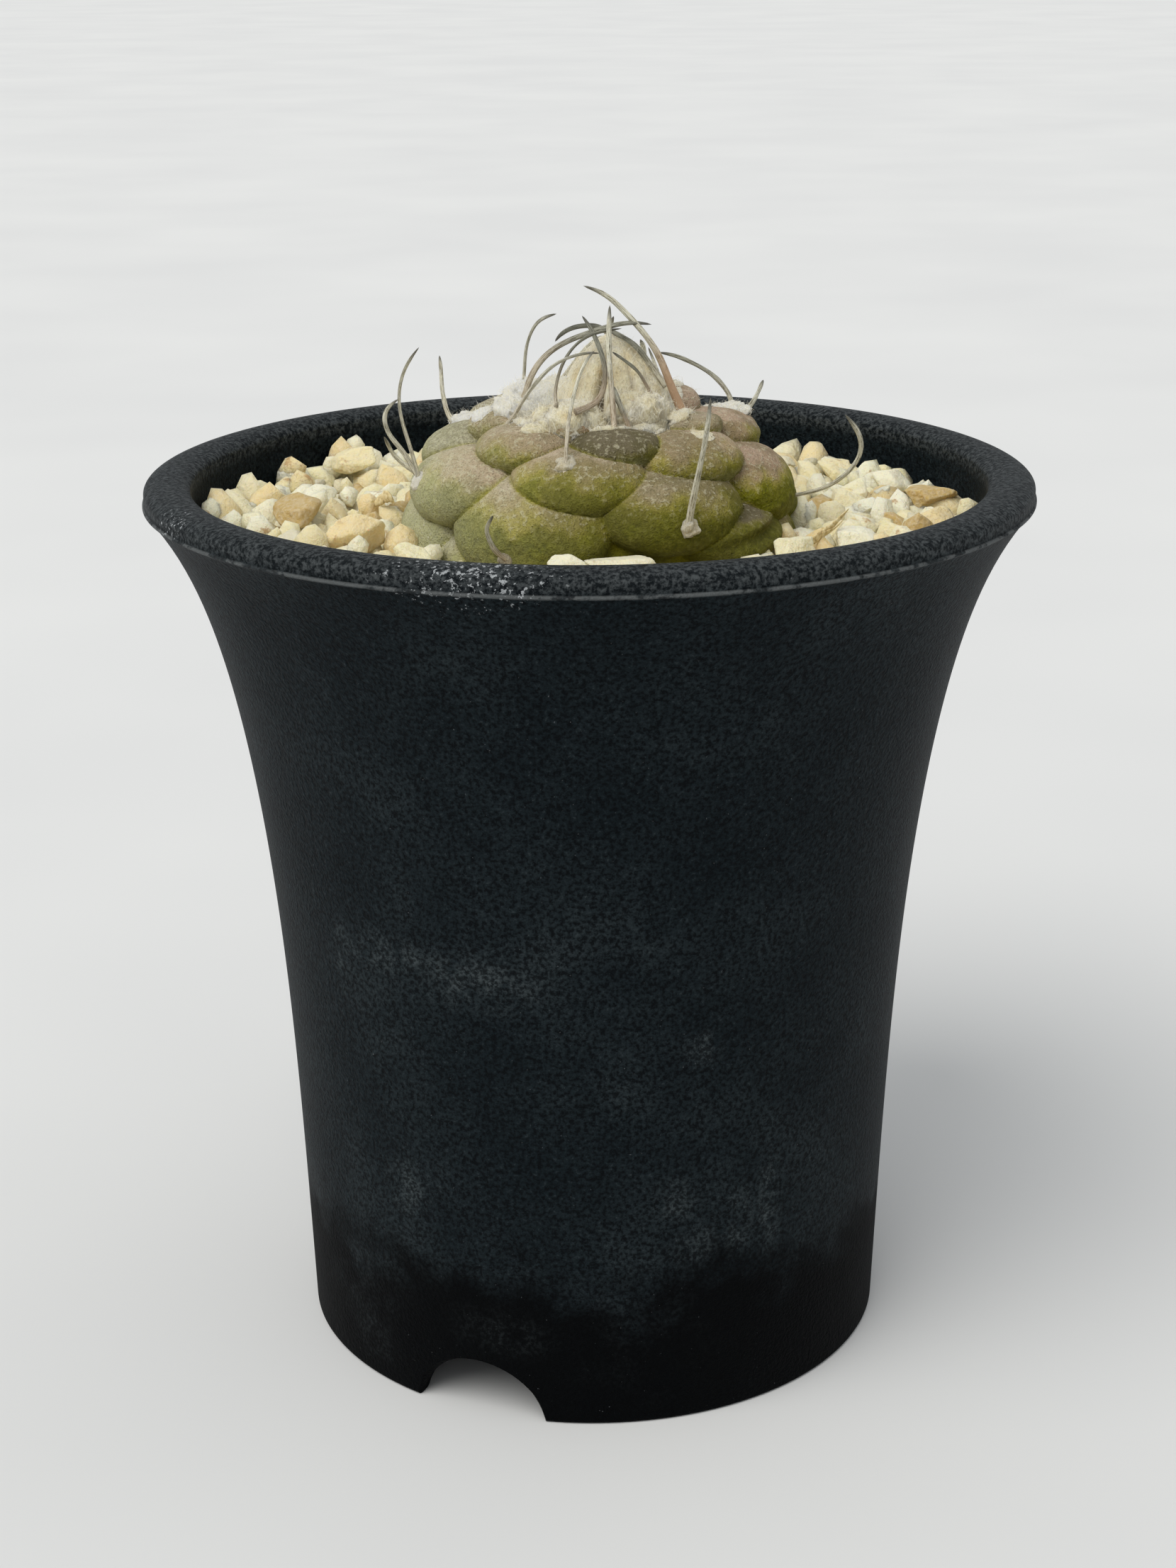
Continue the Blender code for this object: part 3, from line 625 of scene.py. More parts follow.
def root_reach(elevation):
    """How far the taproot's long ball reaches from the stem's middle."""
    rise = np.radians(elevation)
    half = (ROOT_LENGTH + ROOT_OVERLAP) / 2
    centre = -ROOT_LENGTH + half
    a = (np.cos(rise) / ROOT_RADIUS) ** 2 + (np.sin(rise) / half) ** 2
    b = -2 * np.sin(rise) * centre / half ** 2
    c = (centre / half) ** 2 - 1
    return (-b + np.sqrt(b * b - 4 * a * c)) / (2 * a)


def tubercle_place(number):
    return FRONT_AZIMUTH + DIVERGENCE * number, FRONT_ELEVATION + CLIMB * number


def between(azimuth, other):
    """The turn from one azimuth to another, from -180 to 180."""
    return (azimuth - other + 180) % 360 - 180


def stem_skin(azimuth, elevation):
    """The skin in each direction: its reach, share up its tubercle, crease share, lift share and tubercle."""
    heights = []
    ups = []
    for number in TUBERCLES:
        middle_azimuth, middle_elevation = tubercle_place(number)
        aside, higher, wider, taller = TUBERCLE_SHAPE.get(number, (0, 0, 1, 1))
        across = between(azimuth, middle_azimuth + aside) / (TUBERCLE_HALF_AZIMUTH * wider)
        up = (elevation - middle_elevation - higher) / (TUBERCLE_HALF_ELEVATION * taller)
        reach = np.hypot(across, up)
        power, fullness = TUBERCLE_DOME
        dome = np.clip(1 - reach ** power, 0, None) ** fullness * (1 - TUBERCLE_SAG * up)
        outside = -0.35 * np.minimum(reach - 1, 1)
        heights.append(TUBERCLE_LIFT * np.where(reach < 1, dome, outside))
        ups.append(up)
    heights = np.array(heights)
    ups = np.array(ups)
    order = np.argsort(heights, axis=0)
    first = np.take_along_axis(heights, order[-1:], axis=0)[0]
    second = np.take_along_axis(heights, order[-2:-1], axis=0)[0]
    up = np.take_along_axis(ups, order[-1:], axis=0)[0]
    crease = np.exp(-((first - second) / CREASE_WIDTH) ** 2)
    crease = np.maximum(crease, np.clip(-first / (0.25 * TUBERCLE_LIFT), 0, 1))
    top = first + TUBERCLE_BLEND * np.log(np.exp((heights - first) / TUBERCLE_BLEND).sum(axis=0))
    reach = body_reach(elevation) + top - CREASE_CUT * crease
    reach = np.maximum(reach, root_reach(elevation))
    return reach, up, crease, np.clip(first / TUBERCLE_LIFT, 0, 1), order[-1]


# Where the skin wrinkles: azimuth and half width, elevation and half height in degrees, and strength.
FOLDS = ((52, 15, 5, 6.5, 1.0), (150, 25, 4, 7, 0.5))


def folds(azimuth, elevation):
    """Wrinkles low on the right and behind it, where the oldest tubercles shrivel."""
    near = 0.0
    for middle, wide, level, tall, strength in FOLDS:
        apart = -(between(azimuth, middle) / wide) ** 2 - ((elevation - level) / tall) ** 2
        near = near + strength * np.exp(apart)
    sway = 50 * np.sin(np.radians(azimuth * 8))
    return near * np.sin(np.radians(elevation * 55 - between(azimuth, 52) * 13 + sway))


def skin_point(azimuth, elevation):
    """Points on the stem's smooth skin."""
    azimuth, elevation = np.broadcast_arrays(np.asarray(azimuth, float), np.asarray(elevation, float))
    reach = stem_skin(azimuth, elevation)[0]
    return STEM_MIDDLE + toward(azimuth, elevation) * reach[..., None]


def cactus_skin():
    """Green skin that ripens to purple-grey up each tubercle, with creases, chalk and specks, and a pale
    frost that on the left side is partly painted light.
    """
    made, tree, shader, place = new_finish("cactus_skin", 0.65, Specular_IOR_Level=0.12,
                                           Subsurface_Weight=0.06, Subsurface_Scale=0.6 * MM)
    shader.inputs["Subsurface Radius"].default_value = (0.9, 1.0, 0.35)
    bloom = attribute(tree, "bloom")
    crease = attribute(tree, "crease")
    frost_and_lit_side = attribute(tree, "frost_and_lit_side")
    own = attribute(tree, "own")
    shade = attribute(tree, "shade")
    broad = grain(tree, place, 3.2 * MM, detail=4)
    fine = grain(tree, place, 0.5 * MM, detail=3, roughness=0.65)
    pores = grain(tree, place, 0.17 * MM, detail=2)

    drift = times(tree, calc(tree, "SUBTRACT", broad, 0.5), 1.15)
    ripe = calc(tree, "ADD", bloom, drift, clamp=True)
    greens = blend(tree, window(tree, fine, 0.25, 0.75), (0.075, 0.08, 0.0006), (0.20, 0.20, 0.006))
    color = steps(tree, ripe, (0.0, (0.085, 0.088, 0.0008)), (0.22, (0.22, 0.21, 0.006)),
                  (0.42, (0.37, 0.325, 0.06)), (0.68, (0.41, 0.33, 0.175)), (1.0, (0.52, 0.43, 0.31)))
    mottle = window(tree, grain(tree, place, 1.1 * MM, detail=5, roughness=0.7), 0.35, 0.65)
    color = blend(tree, times(tree, mottle, 0.3), color, (0.15, 0.12, 0.035))
    color = blend(tree, window(tree, ripe, 0.5, -0.05), color, greens)
    rosy = times(tree, window(tree, own, 0.4, 1.0), window(tree, ripe, 0.3, 0.7, 0.0, 0.65))
    color = blend(tree, rosy, color, (0.40, 0.265, 0.195))
    dull = times(tree, window(tree, own, 0.5, 0.0), window(tree, ripe, 0.2, 0.6, 0.0, 0.85))
    color = blend(tree, dull, color, (0.19, 0.155, 0.12))
    patch = window(tree, grain(tree, place, 7 * MM, detail=3), 0.56, 0.42, 0.0, 0.45)
    color = blend(tree, patch, color, (0.10, 0.088, 0.015))
    color = blend(tree, shade, color, (0.075, 0.066, 0.022))
    chalk = window(tree, calc(tree, "ADD", fine, times(tree, frost_and_lit_side, 0.12)), 0.52, 0.66, 0.0, 0.5)
    chalk = times(tree, chalk, window(tree, ripe, 0.1, 0.6, 0.08, 1.0))
    color = blend(tree, chalk, color, (0.58, 0.54, 0.38))
    # Frost, which on the left side is partly painted light.
    color = blend(tree, times(tree, frost_and_lit_side, 0.58), color, (0.66, 0.66, 0.43))
    color = blend(tree, times(tree, crease, 0.7), color, (0.30, 0.28, 0.02))
    color = blend(tree, window(tree, pores, 0.52, 0.34, 0.0, 0.4), color, (0.09, 0.08, 0.02))
    dots = grain(tree, place, 0.24 * MM, detail=3, roughness=0.7)
    dusty = times(tree, calc(tree, "ADD", broad, frost_and_lit_side), 0.12)
    speck = window(tree, calc(tree, "ADD", dots, dusty), 0.74, 0.86, 0.0, 0.6)
    color = blend(tree, speck, color, (0.80, 0.77, 0.62))
    color_of(tree, shader, color)
    relief(tree, shader, (broad, 0.35 * MM), (fine, 0.3 * MM), (pores, 0.14 * MM), (speck, 0.08 * MM))
    return made


def scattered(number):
    """A share from 0 to 1 that jumps about from one whole number to the next."""
    return (math.sin(number * 12.9898) * 43758.5453) % 1


def make_stem():
    elevations = np.concatenate([np.linspace(ROOT_BOTTOM, -22, 16), np.linspace(-16, 88.6, 172)])
    azimuths = np.arange(STEM_TURNS) * 360 / STEM_TURNS
    azimuth, elevation = np.meshgrid(azimuths, elevations)
    reach, up, crease, lift, which = stem_skin(azimuth, elevation)
    direction = toward(azimuth, elevation)
    places = direction * reach[..., None]
    lumps = 0.28 * MM * noise_at(places, 3.4 * MM) + 0.1 * MM * noise_at(places, 1.3 * MM, 5.0)
    reach = reach + lumps * lift + 0.5 * MM * folds(azimuth, elevation)
    rise = np.radians(elevation)
    turn = np.radians(azimuth)
    upward = np.stack([-np.sin(turn) * np.sin(rise), np.cos(turn) * np.sin(rise), np.cos(rise)], axis=-1)
    droop = TUBERCLE_DROOP * np.clip(-up, 0, 1) * lift * np.clip(1 - elevation / 70, 0, 1)
    above = np.clip((elevation - 1) / 8, 0, 1)
    points = STEM_MIDDLE + direction * reach[..., None] - upward * (droop * above)[..., None]
    bottom = STEM_MIDDLE - (0, 0, ROOT_LENGTH)
    top = STEM_MIDDLE + (0, 0, float(stem_skin(np.array([0.0]), np.array([89.9]))[0][0]))
    stem = closed_round("stem", points, bottom, top, cactus_skin(), sharp=180.0)
    own = np.array([TUBERCLE_HUE.get(number, scattered(number)) for number in TUBERCLES])[which]
    bloom = np.clip(0.45 + 0.48 * up + 0.022 * (elevation - 18), 0, 1)
    # Paler on the left side: partly frost on the skin, partly painted light where the light falls from the
    # left.
    frost_and_lit_side = np.exp(-(between(azimuth, -88) / 46) ** 2) * np.clip((elevation + 16) / 14, 0, 1)
    frost_and_lit_side = np.clip(frost_and_lit_side * (1.35 - 0.9 * np.clip(elevation / 38, 0, 1)), 0, 1)
    frost_and_lit_side = np.maximum(frost_and_lit_side, 0.6 * np.clip((-up - 0.7) / 0.3, 0, 1) * np.clip(elevation / 40, 0, 1))
    shade = np.array([TUBERCLE_SHADE.get(number, 0.0) for number in TUBERCLES])[which]
    attributes = {"bloom": bloom, "crease": crease, "frost_and_lit_side": frost_and_lit_side, "own": own, "shade": shade}
    for name, values in attributes.items():
        store(stem, name, np.append(values.ravel(), (0, 1)))
    finish_piece(stem, "cactus_skin", "cactus_stem")


# Stones

def spread_directions(count, draw, jitter):
    """Unit vectors spread over a ball, each moved a little at random."""
    height = 1 - (2 * np.arange(count) + 1) / count
    directions = toward(np.arange(count) * 222.5, np.degrees(np.arcsin(height)))
    directions = directions + jitter * draw.normal(size=directions.shape)
    return directions / np.linalg.norm(directions, axis=1)[:, None]


def facet_reach(directions, draw, facets=STONE_FACETS, flat=1.0, soft=0.05):
    """How far an angular stone reaches in each direction: cut by planes set round its middle."""
    normals = spread_directions(facets, draw, 0.35)
    depths = draw.uniform(0.72, 1.05, facets) * (1 - (1 - flat) * np.abs(normals[:, 2]))
    facing = np.clip(directions @ normals.T, 0.05, None)
    reaches = depths / facing
    nearest = reaches.min(axis=-1, keepdims=True)
    reach = nearest[..., 0] - soft * np.log(np.exp(-(reaches - nearest) / soft).sum(axis=-1))
    return np.minimum(reach, 1.3)


def ball_directions(level):
    """Unit vectors to a round ball's corners, and its faces."""
    shape = bmesh.new()
    bmesh.ops.create_icosphere(shape, subdivisions=level, radius=1.0)
    shape.verts.ensure_lookup_table()
    directions = np.array([vert.co.normalized() for vert in shape.verts])
    faces = [[vert.index for vert in face.verts] for face in shape.faces]
    shape.free()
    return directions, faces


def small_stone(number, finish):
    """One angular chip with few faces, about 1 in radius, for scattering."""
    draw = np.random.default_rng(400 + number)
    directions = spread_directions(HULL_CORNERS, draw, 0.16)
    stretch = draw.uniform((0.95, 0.8, 0.65), (1.25, 1.0, 0.9))
    corners = directions * facet_reach(directions, draw, facets=CHIP_FACETS, soft=0.08)[:, None] * stretch
    shape = bmesh.new()
    for corner in corners:
        shape.verts.new(corner)
    hull = bmesh.ops.convex_hull(shape, input=shape.verts)
    spare = set(hull["geom_interior"]) | set(hull["geom_unused"])
    spare = [item for item in spare if isinstance(item, bmesh.types.BMVert)]
    bmesh.ops.delete(shape, geom=spare, context="VERTS")
    bmesh.ops.recalc_face_normals(shape, faces=shape.faces)
    mesh = bpy.data.meshes.new(f"chip_{number}")
    shape.to_mesh(mesh)
    shape.free()
    mesh.materials.append(finish)
    mesh.shade_smooth()
    mesh.set_sharp_from_angle(angle=math.radians(58))
    return bpy.data.objects.new(f"chip_{number}", mesh)


def gravel_stone_finish():
    """Crushed pale stone: cream to milky grey, stained with ochre here and there."""
    made, tree, shader, place = new_finish("gravel", 0.66, Subsurface_Weight=0.4,
                                           Subsurface_Scale=1.3 * MM)
    shader.inputs["Subsurface Radius"].default_value = (1.0, 0.8, 0.5)
    tone = attribute(tree, "tone")
    broad = grain(tree, place, 2.4 * MM, detail=4)
    fine = grain(tree, place, 0.5 * MM, detail=4, roughness=0.65)
    color = steps(tree, tone, (0.0, (0.55, 0.51, 0.38)), (0.16, (0.70, 0.65, 0.46)),
                  (0.34, (0.82, 0.71, 0.40)), (0.5, (0.83, 0.76, 0.47)), (0.66, (0.86, 0.83, 0.64)),
                  (0.82, (0.82, 0.73, 0.44)), (0.93, (0.80, 0.62, 0.30)), (0.97, (0.52, 0.36, 0.12)))
    color = blend(tree, window(tree, fine, 0.35, 0.7, 0.0, 0.3), color, (0.80, 0.76, 0.66))
    stain = calc(tree, "ADD", broad, times(tree, fine, 0.35))
    color = blend(tree, window(tree, stain, 0.78, 0.9, 0.0, 0.75), color, (0.42, 0.22, 0.055))
    pits = window(tree, grain(tree, place, 0.33 * MM, detail=2, roughness=0.7), 0.36, 0.3, 0.0, 0.35)
    color = blend(tree, pits, color, (0.34, 0.26, 0.15))
    color_of(tree, shader, color)
    relief(tree, shader, (broad, 0.5 * MM), (fine, 0.34 * MM))
    return made


def scatter_tree(name, collection, finish):
    """Geometry Nodes: one of a collection's shapes on points spread evenly over a surface."""
    tree = bpy.data.node_groups.new(name, "GeometryNodeTree")
    tree.interface.new_socket("Surface", in_out="INPUT", socket_type="NodeSocketGeometry")
    for label in ("Spacing", "Smallest", "Largest", "Tilt", "Rise"):
        tree.interface.new_socket(label, in_out="INPUT", socket_type="NodeSocketFloat")
    tree.interface.new_socket("Seed", in_out="INPUT", socket_type="NodeSocketInt")
    tree.interface.new_socket("Pieces", in_out="OUTPUT", socket_type="NodeSocketGeometry")
    given = add_node(tree, "NodeGroupInput").outputs
    seed = given["Seed"]
    inputs = {"Mesh": given["Surface"], "Distance Min": given["Spacing"], "Density Max": 2e7, "Seed": seed}
    spread = add_node(tree, "GeometryNodeDistributePointsOnFaces", inputs, distribute_method="POISSON")
    shapes = add_node(tree, "GeometryNodeCollectionInfo",
                      {"Collection": collection, "Separate Children": True, "Reset Children": True})
    turn = add_node(tree, "ShaderNodeCombineXYZ", {0: given["Tilt"], 1: given["Tilt"], 2: math.tau})
    least = add_node(tree, "ShaderNodeVectorMath", {0: turn, 1: (-1, -1, 0)}, operation="MULTIPLY")
    inputs = {0: least, 1: turn, "Seed": seed}
    spin = add_node(tree, "FunctionNodeRandomValue", inputs, data_type="FLOAT_VECTOR")
    spin = add_node(tree, "FunctionNodeEulerToRotation", {0: spin})
    facing = add_node(tree, "FunctionNodeRotateRotation", {0: spread.outputs["Rotation"], 1: spin},
                      rotation_space="LOCAL")
    inputs = {2: given["Smallest"], 3: given["Largest"], "Seed": seed}
    size = add_node(tree, "FunctionNodeRandomValue", inputs).outputs[1]
    placed = add_node(tree, "GeometryNodeInstanceOnPoints",
                      {"Points": spread.outputs["Points"], "Instance": shapes, "Pick Instance": True,
                       "Rotation": facing, "Scale": size})
    lift = add_node(tree, "FunctionNodeRandomValue", {2: 0.0, 3: given["Rise"], "Seed": seed})
    shift = add_node(tree, "ShaderNodeCombineXYZ", {2: lift.outputs[1]})
    moved = add_node(tree, "GeometryNodeTranslateInstances",
                     {"Instances": placed, "Translation": shift, "Local Space": False})
    tone = add_node(tree, "FunctionNodeRandomValue", {2: 0.0, 3: 1.0, "Seed": seed})
    toned = add_node(tree, "GeometryNodeStoreNamedAttribute",
                     {"Geometry": moved, "Name": "tone", "Value": tone.outputs[1]},
                     data_type="FLOAT", domain="INSTANCE")
    solid = add_node(tree, "GeometryNodeRealizeInstances", {0: toned})
    finished = add_node(tree, "GeometryNodeSetMaterial", {"Geometry": solid, "Material": finish})
    add_node(tree, "NodeGroupOutput", {"Pieces": finished})
    return tree


def clean_part(mesh):
    """A copy of a mesh without the faces whose soil and painted slit shade pass the limit."""
    shape = bmesh.new()
    shape.from_mesh(mesh)
    soil_and_slit_shade = shape.verts.layers.float.get("soil_and_slit_shade")
    if soil_and_slit_shade:
        soiled_and_shaded = [face for face in shape.faces if min(vert[soil_and_slit_shade] for vert in face.verts) > MOST_SOIL_AND_SHADE]
        bmesh.ops.delete(shape, geom=soiled_and_shaded, context="FACES")
    copy = mesh.copy()
    shape.to_mesh(copy)
    shape.free()
    return copy


def scatter(name, surface, shapes, finish, spacing, smallest, largest, tilt, rise, seed):
    """Scatters shapes over a surface, tilted up to an angle and raised at random, as one plain mesh."""
    collection = bpy.data.collections.new(name + "_shapes")
    for shape in shapes:
        collection.objects.link(shape)
    tree = scatter_tree(name, collection, finish)
    host = bpy.data.objects.new(name, clean_part(surface.data))
    bpy.context.scene.collection.objects.link(host)
    spread = host.modifiers.new("scatter", "NODES")
    spread.node_group = tree
    values = {"Spacing": spacing, "Smallest": smallest, "Largest": largest, "Tilt": tilt, "Rise": rise,
              "Seed": seed}
    for item in tree.interface.items_tree:
        if item.in_out == "INPUT" and item.name in values:
            spread[item.identifier] = values[item.name]
    baked(host)
    bpy.data.collections.remove(collection)
    return host


def gravel_height(azimuth, radius):
    """Level of the stones: heaped up behind, most on the left, and a little lower in front."""
    facing = np.clip(np.cos(np.radians(azimuth - HEAP_AZIMUTH)), 0, 1)
    outward_share = np.clip(radius / BOWL_RADIUS, 0, 1)
    heap = HEAP_RISE * outward_share ** 3 * facing
    small_heap = SMALL_HEAP * np.exp(-(between(azimuth, 122) / 30) ** 2) * outward_share ** 2
    dip = GRAVEL_DIP * np.exp(-(between(azimuth, 5) / 42) ** 2)
    return GRAVEL_LEVEL + heap + small_heap - dip


def gravel_sheet(name, drop, finish, inset):
    """The gravel's level between the stem and the wall, a drop below its surface."""
    skin = skin_point(np.arange(90) * 4.0, -4.0)
    start = np.hypot(skin[:, 0], skin[:, 1]) + 0.3 * MM
    shares = np.linspace(0, 1, 14)[:, None]
    end = inner_wall(GRAVEL_LEVEL - drop) - inset
    radius = start + (end - start) * shares
    grid = toward(np.degrees(np.arctan2(skin[:, 0], -skin[:, 1]))[None, :]) * radius[..., None]
    azimuth = np.degrees(np.arctan2(grid[..., 0], -grid[..., 1]))
    grid[..., 2] = gravel_height(azimuth, radius) - drop
    grid[..., 2] += 0.5 * MM * noise_at(grid, 6 * MM)
    faces = [face[::-1] for face in grid_faces(*grid.shape[:2])]
    return mesh_piece(name, grid, faces, finish)


def gravel_ground(finish):
    """A closed bed under the stones, so that nothing shows through between them."""
    azimuths = np.arange(160) * 2.25
    radii = np.linspace(BOWL_RADIUS - GROUND_INSET, 8 * MM, 44)
    azimuth, radius = np.meshgrid(azimuths, radii)
    top = toward(azimuth) * radius[..., None]
    top[..., 2] = gravel_height(azimuth, radius) - GROUND_TOP + 0.5 * MM * noise_at(top, 1.6 * MM)
    sides = []
    for height in np.linspace(GRAVEL_LEVEL - GROUND_DEPTH, GRAVEL_LEVEL - 2.6 * MM, 5):
        sides.append(toward(azimuths) * (inner_wall(height) - GROUND_INSET) + (0, 0, height))
    grid = np.concatenate([np.array(sides), top])
    bottom = (0, 0, GRAVEL_LEVEL - GROUND_DEPTH)
    bed = closed_round("gravel_ground", grid, bottom, (0, 0, GRAVEL_LEVEL - GROUND_TOP), finish)
    store(bed, "tone", np.full(len(bed.data.vertices), 0.4))
    return bed


# Layers of gravel: seed, drop below the surface, spacing, smallest and largest radius, rise, and inset from
# the wall, in millimetres.
GRAVEL_LAYERS = (
    (11, 1.9, 2.1, 1.2, 1.9, 0.6, 0.9),
    (12, 0.8, 2.7, 1.3, 2.4, 1.0, 1.4),
    (13, -0.5, 5.0, 0.7, 1.7, 0.7, 1.0),
)


def make_gravel(finish):
    chips = [small_stone(number, finish) for number in range(STONE_SHAPES)]
    layers = []
    for seed, *sizes in GRAVEL_LAYERS:
        drop, spacing, smallest, largest, rise, inset = (size * MM for size in sizes)
        sheet = gravel_sheet("gravel_sheet", drop, finish, inset)
        shapes = [chip.copy() for chip in chips]
        layer = scatter(f"gravel_layer_{seed}", sheet, shapes, finish, spacing, smallest, largest, math.pi,
                        rise, seed)
        layers.append(layer)
        remove(sheet)
    layers.append(gravel_ground(finish))
    finish_piece(join("top_gravel", layers), "gravel", "gravel_bed")


# Large stones: azimuth, radius and height of the middle over the gravel, width, flatness, tone.
LARGE_STONES = (
    (-5, 22.8, 3.3, 4.6, 0.75, 0.7), (8.3, 23.0, 3.4, 6.6, 0.62, 0.74), (52, 25.0, 1.9, 4.4, 0.85, 0.52),
    (69, 28.5, 1.6, 4.6, 0.75, 0.64), (100, 36.2, 1.6, 5.0, 0.7, 0.98), (125, 33.0, 1.4, 4.4, 0.8, 0.36),
    (158, 33.0, 1.4, 4.4, 0.8, 0.5), (-158, 34.0, 1.9, 4.8, 0.8, 0.4), (-129, 33.2, 2.3, 5.6, 0.75, 0.36),
    (-88, 29.5, 2.1, 5.8, 0.7, 0.99), (-69, 25.0, 1.9, 5.0, 0.95, 0.9), (-45, 23.8, 1.5, 4.2, 0.9, 0.5),
)


def large_stone(number, finish, azimuth, radius, rise, width, flat, tone):
    """A large angular stone, chipped and pitted, on the gravel."""
    draw = np.random.default_rng(900 + number)
    directions, faces = ball_directions(5 if number < len(LARGE_STONES) else 4)
    reach = facet_reach(directions, draw, facets=LARGE_FACETS, flat=flat, soft=0.03)
    stretch = draw.uniform((1.0, 0.8, 0.9), (1.2, 1.0, 1.0)) * (1, 1, flat)
    shape = directions * reach[:, None] * stretch
    shape *= 1 + 0.07 * noise_at(shape, 0.5, number)[:, None] + 0.035 * noise_at(shape, 0.16, number)[:, None]
    spin = Matrix.Rotation(draw.uniform(0, math.tau), 3, "Z")
    tilt = Matrix.Rotation(draw.uniform(-0.4, 0.4), 3, "X")
    shape = shape @ np.array(spin @ tilt).T * width * MM / 2
    middle = toward(azimuth) * radius * MM
    middle[2] = gravel_height(azimuth, radius * MM) + rise * MM
    stone = mesh_piece(f"large_stone_{number}", shape + middle, faces, finish, sharp=180.0)
    store(stone, "tone", np.full(len(shape), tone))
    return stone


def stone_spot(stone):
    return toward(stone[0])[:2] * stone[1]


def other_stones():
    """More large stones in two rings over the gravel, as (azimuth, radius, rise, width, flatness, tone)."""
    draw = np.random.default_rng(31)
    found = []
    for azimuth in np.arange(-180, 180, OTHER_STONE_STEP):
        for near, far in OTHER_STONE_RINGS:
            place = azimuth + draw.uniform(-5, 5), draw.uniform(near, far), draw.uniform(0.2, 1.3)
            stone = *place, draw.uniform(4.0, 6.0), draw.uniform(0.6, 0.85), draw.uniform(0.1, 0.93)
            if all(math.dist(stone_spot(stone), stone_spot(other)) > OTHER_STONE_GAP
                   for other in [*LARGE_STONES, *found]):
                found.append(stone)
    return found


def make_large_stones(finish):
    rows = [*LARGE_STONES, *other_stones()]
    stones = [large_stone(number, finish, *row) for number, row in enumerate(rows)]
    names = [f"gravel_stone_{number:02d}" for number in range(1, len(LARGE_STONES) + 1)]
    finish_piece(join("large_stones", stones), "gravel", *names)


# Wool

def wool_reach(elevation):
    """How far a plain ball round the crown's wool reaches: crown spines count their height from it."""
    rise = np.radians(elevation)
    half = WOOL_TOP / 2
    a = (np.cos(rise) / WOOL_RADIUS) ** 2 + (np.sin(rise) / half) ** 2
    return np.where(elevation > 0, 2 * np.sin(rise) / half / a, 0.0)


def wool_mass(name, finish, middle, half, power, white, slits=()):
    """A matted mass of wool: a lumpy dome of upright locks round its own middle, slit here and there."""
    turns = 240 if slits else 144
    azimuth, tilt = np.meshgrid(np.arange(turns) * 360 / turns, np.linspace(128, 1.5, turns // 3))
    directions = toward(azimuth, 90 - tilt)
    flat = np.hypot(directions[..., 0] / half[0], directions[..., 1] / half[1]) / MM
    reach = (flat ** power + (np.abs(directions[..., 2]) / half[2] / MM) ** power) ** (-1 / power)
    places = directions * reach[..., None]
    lock = noise_at(toward(azimuth) * 8 * MM + places * (0.15, 0.15, 0.2), 1.5 * MM, sum(half))
    lumps = noise_at(places, 1.7 * MM, 9.0)
    tufts = noise_at(places, 0.6 * MM, 2.0)
    upper = np.clip((tilt - 8) / 20, 0, 1)
    over = 0.38 * lock * upper + 0.32 * lumps + 0.14 * tufts
    soil_and_slit_shade = np.zeros_like(tilt)
    for aside, width, depth in slits:
        slit = np.exp(-(between(azimuth, aside + 3 * lumps) / width) ** 2) * upper
        slit = slit * np.clip((88 - tilt) / 14, 0, 1)
        over = over - depth * slit
        # In a slit this share is painted shade in the recess.
        soil_and_slit_shade = np.maximum(soil_and_slit_shade, slit * min(1.0, depth))
    root = STEM_MIDDLE + np.array(middle) * MM
    points = root + directions * (reach + over * MM)[..., None]
    ends = points[0].mean(axis=0), points[-1].mean(axis=0)
    mass = closed_round(name, points, *ends, finish, sharp=180.0)
    side = np.clip(np.abs(between(azimuth, -10)) / 60 - 0.6, 0, 1) * np.clip((tilt - 30) / 60, 0, 1)
    store(mass, "white", np.append(np.clip(white + 0.8 * side, 0, 1).ravel(), (0, 0)))
    store(mass, "soil_and_slit_shade", np.append(soil_and_slit_shade.ravel(), (0, 0)))
    return mass


def crown_collar(finish):
    """Short wool that covers the young tubercles round the crown."""
    azimuth, elevation = np.meshgrid(np.arange(240) * 1.5, np.linspace(50, 88, 46))
    skin = stem_skin(azimuth, elevation)[0]
    places = toward(azimuth, elevation) * skin[..., None]
    lumps = noise_at(places, 1.6 * MM, 9.0)
    tufts = noise_at(places, 0.6 * MM, 2.0)
    ragged = 4 * noise_at(toward(azimuth) * 10 * MM, 3.5 * MM, 4.0)
    edge = 61 + ragged - 5 * np.exp(-(between(azimuth, -75) / 50) ** 2)
    over = (0.75 + 0.4 * lumps + 0.3 * tufts) * np.clip((elevation - edge) / 2.5, -0.6, 1)
    points = STEM_MIDDLE + toward(azimuth, elevation) * (skin + over * MM)[..., None]
    ends = STEM_MIDDLE + (0, 0, 5 * MM), points[-1].mean(axis=0)
    collar = closed_round("collar", points, *ends, finish, sharp=180.0)
    # Whiter towards the left: partly whiter wool, partly painted light where the light falls from that side.
    painted_light_left = np.exp(-(between(azimuth, -80) / 60) ** 2)
    store(collar, "white", np.append(painted_light_left.ravel(), (0, 0)))
    store(collar, "soil_and_slit_shade", np.zeros(len(collar.data.vertices)))
    return collar


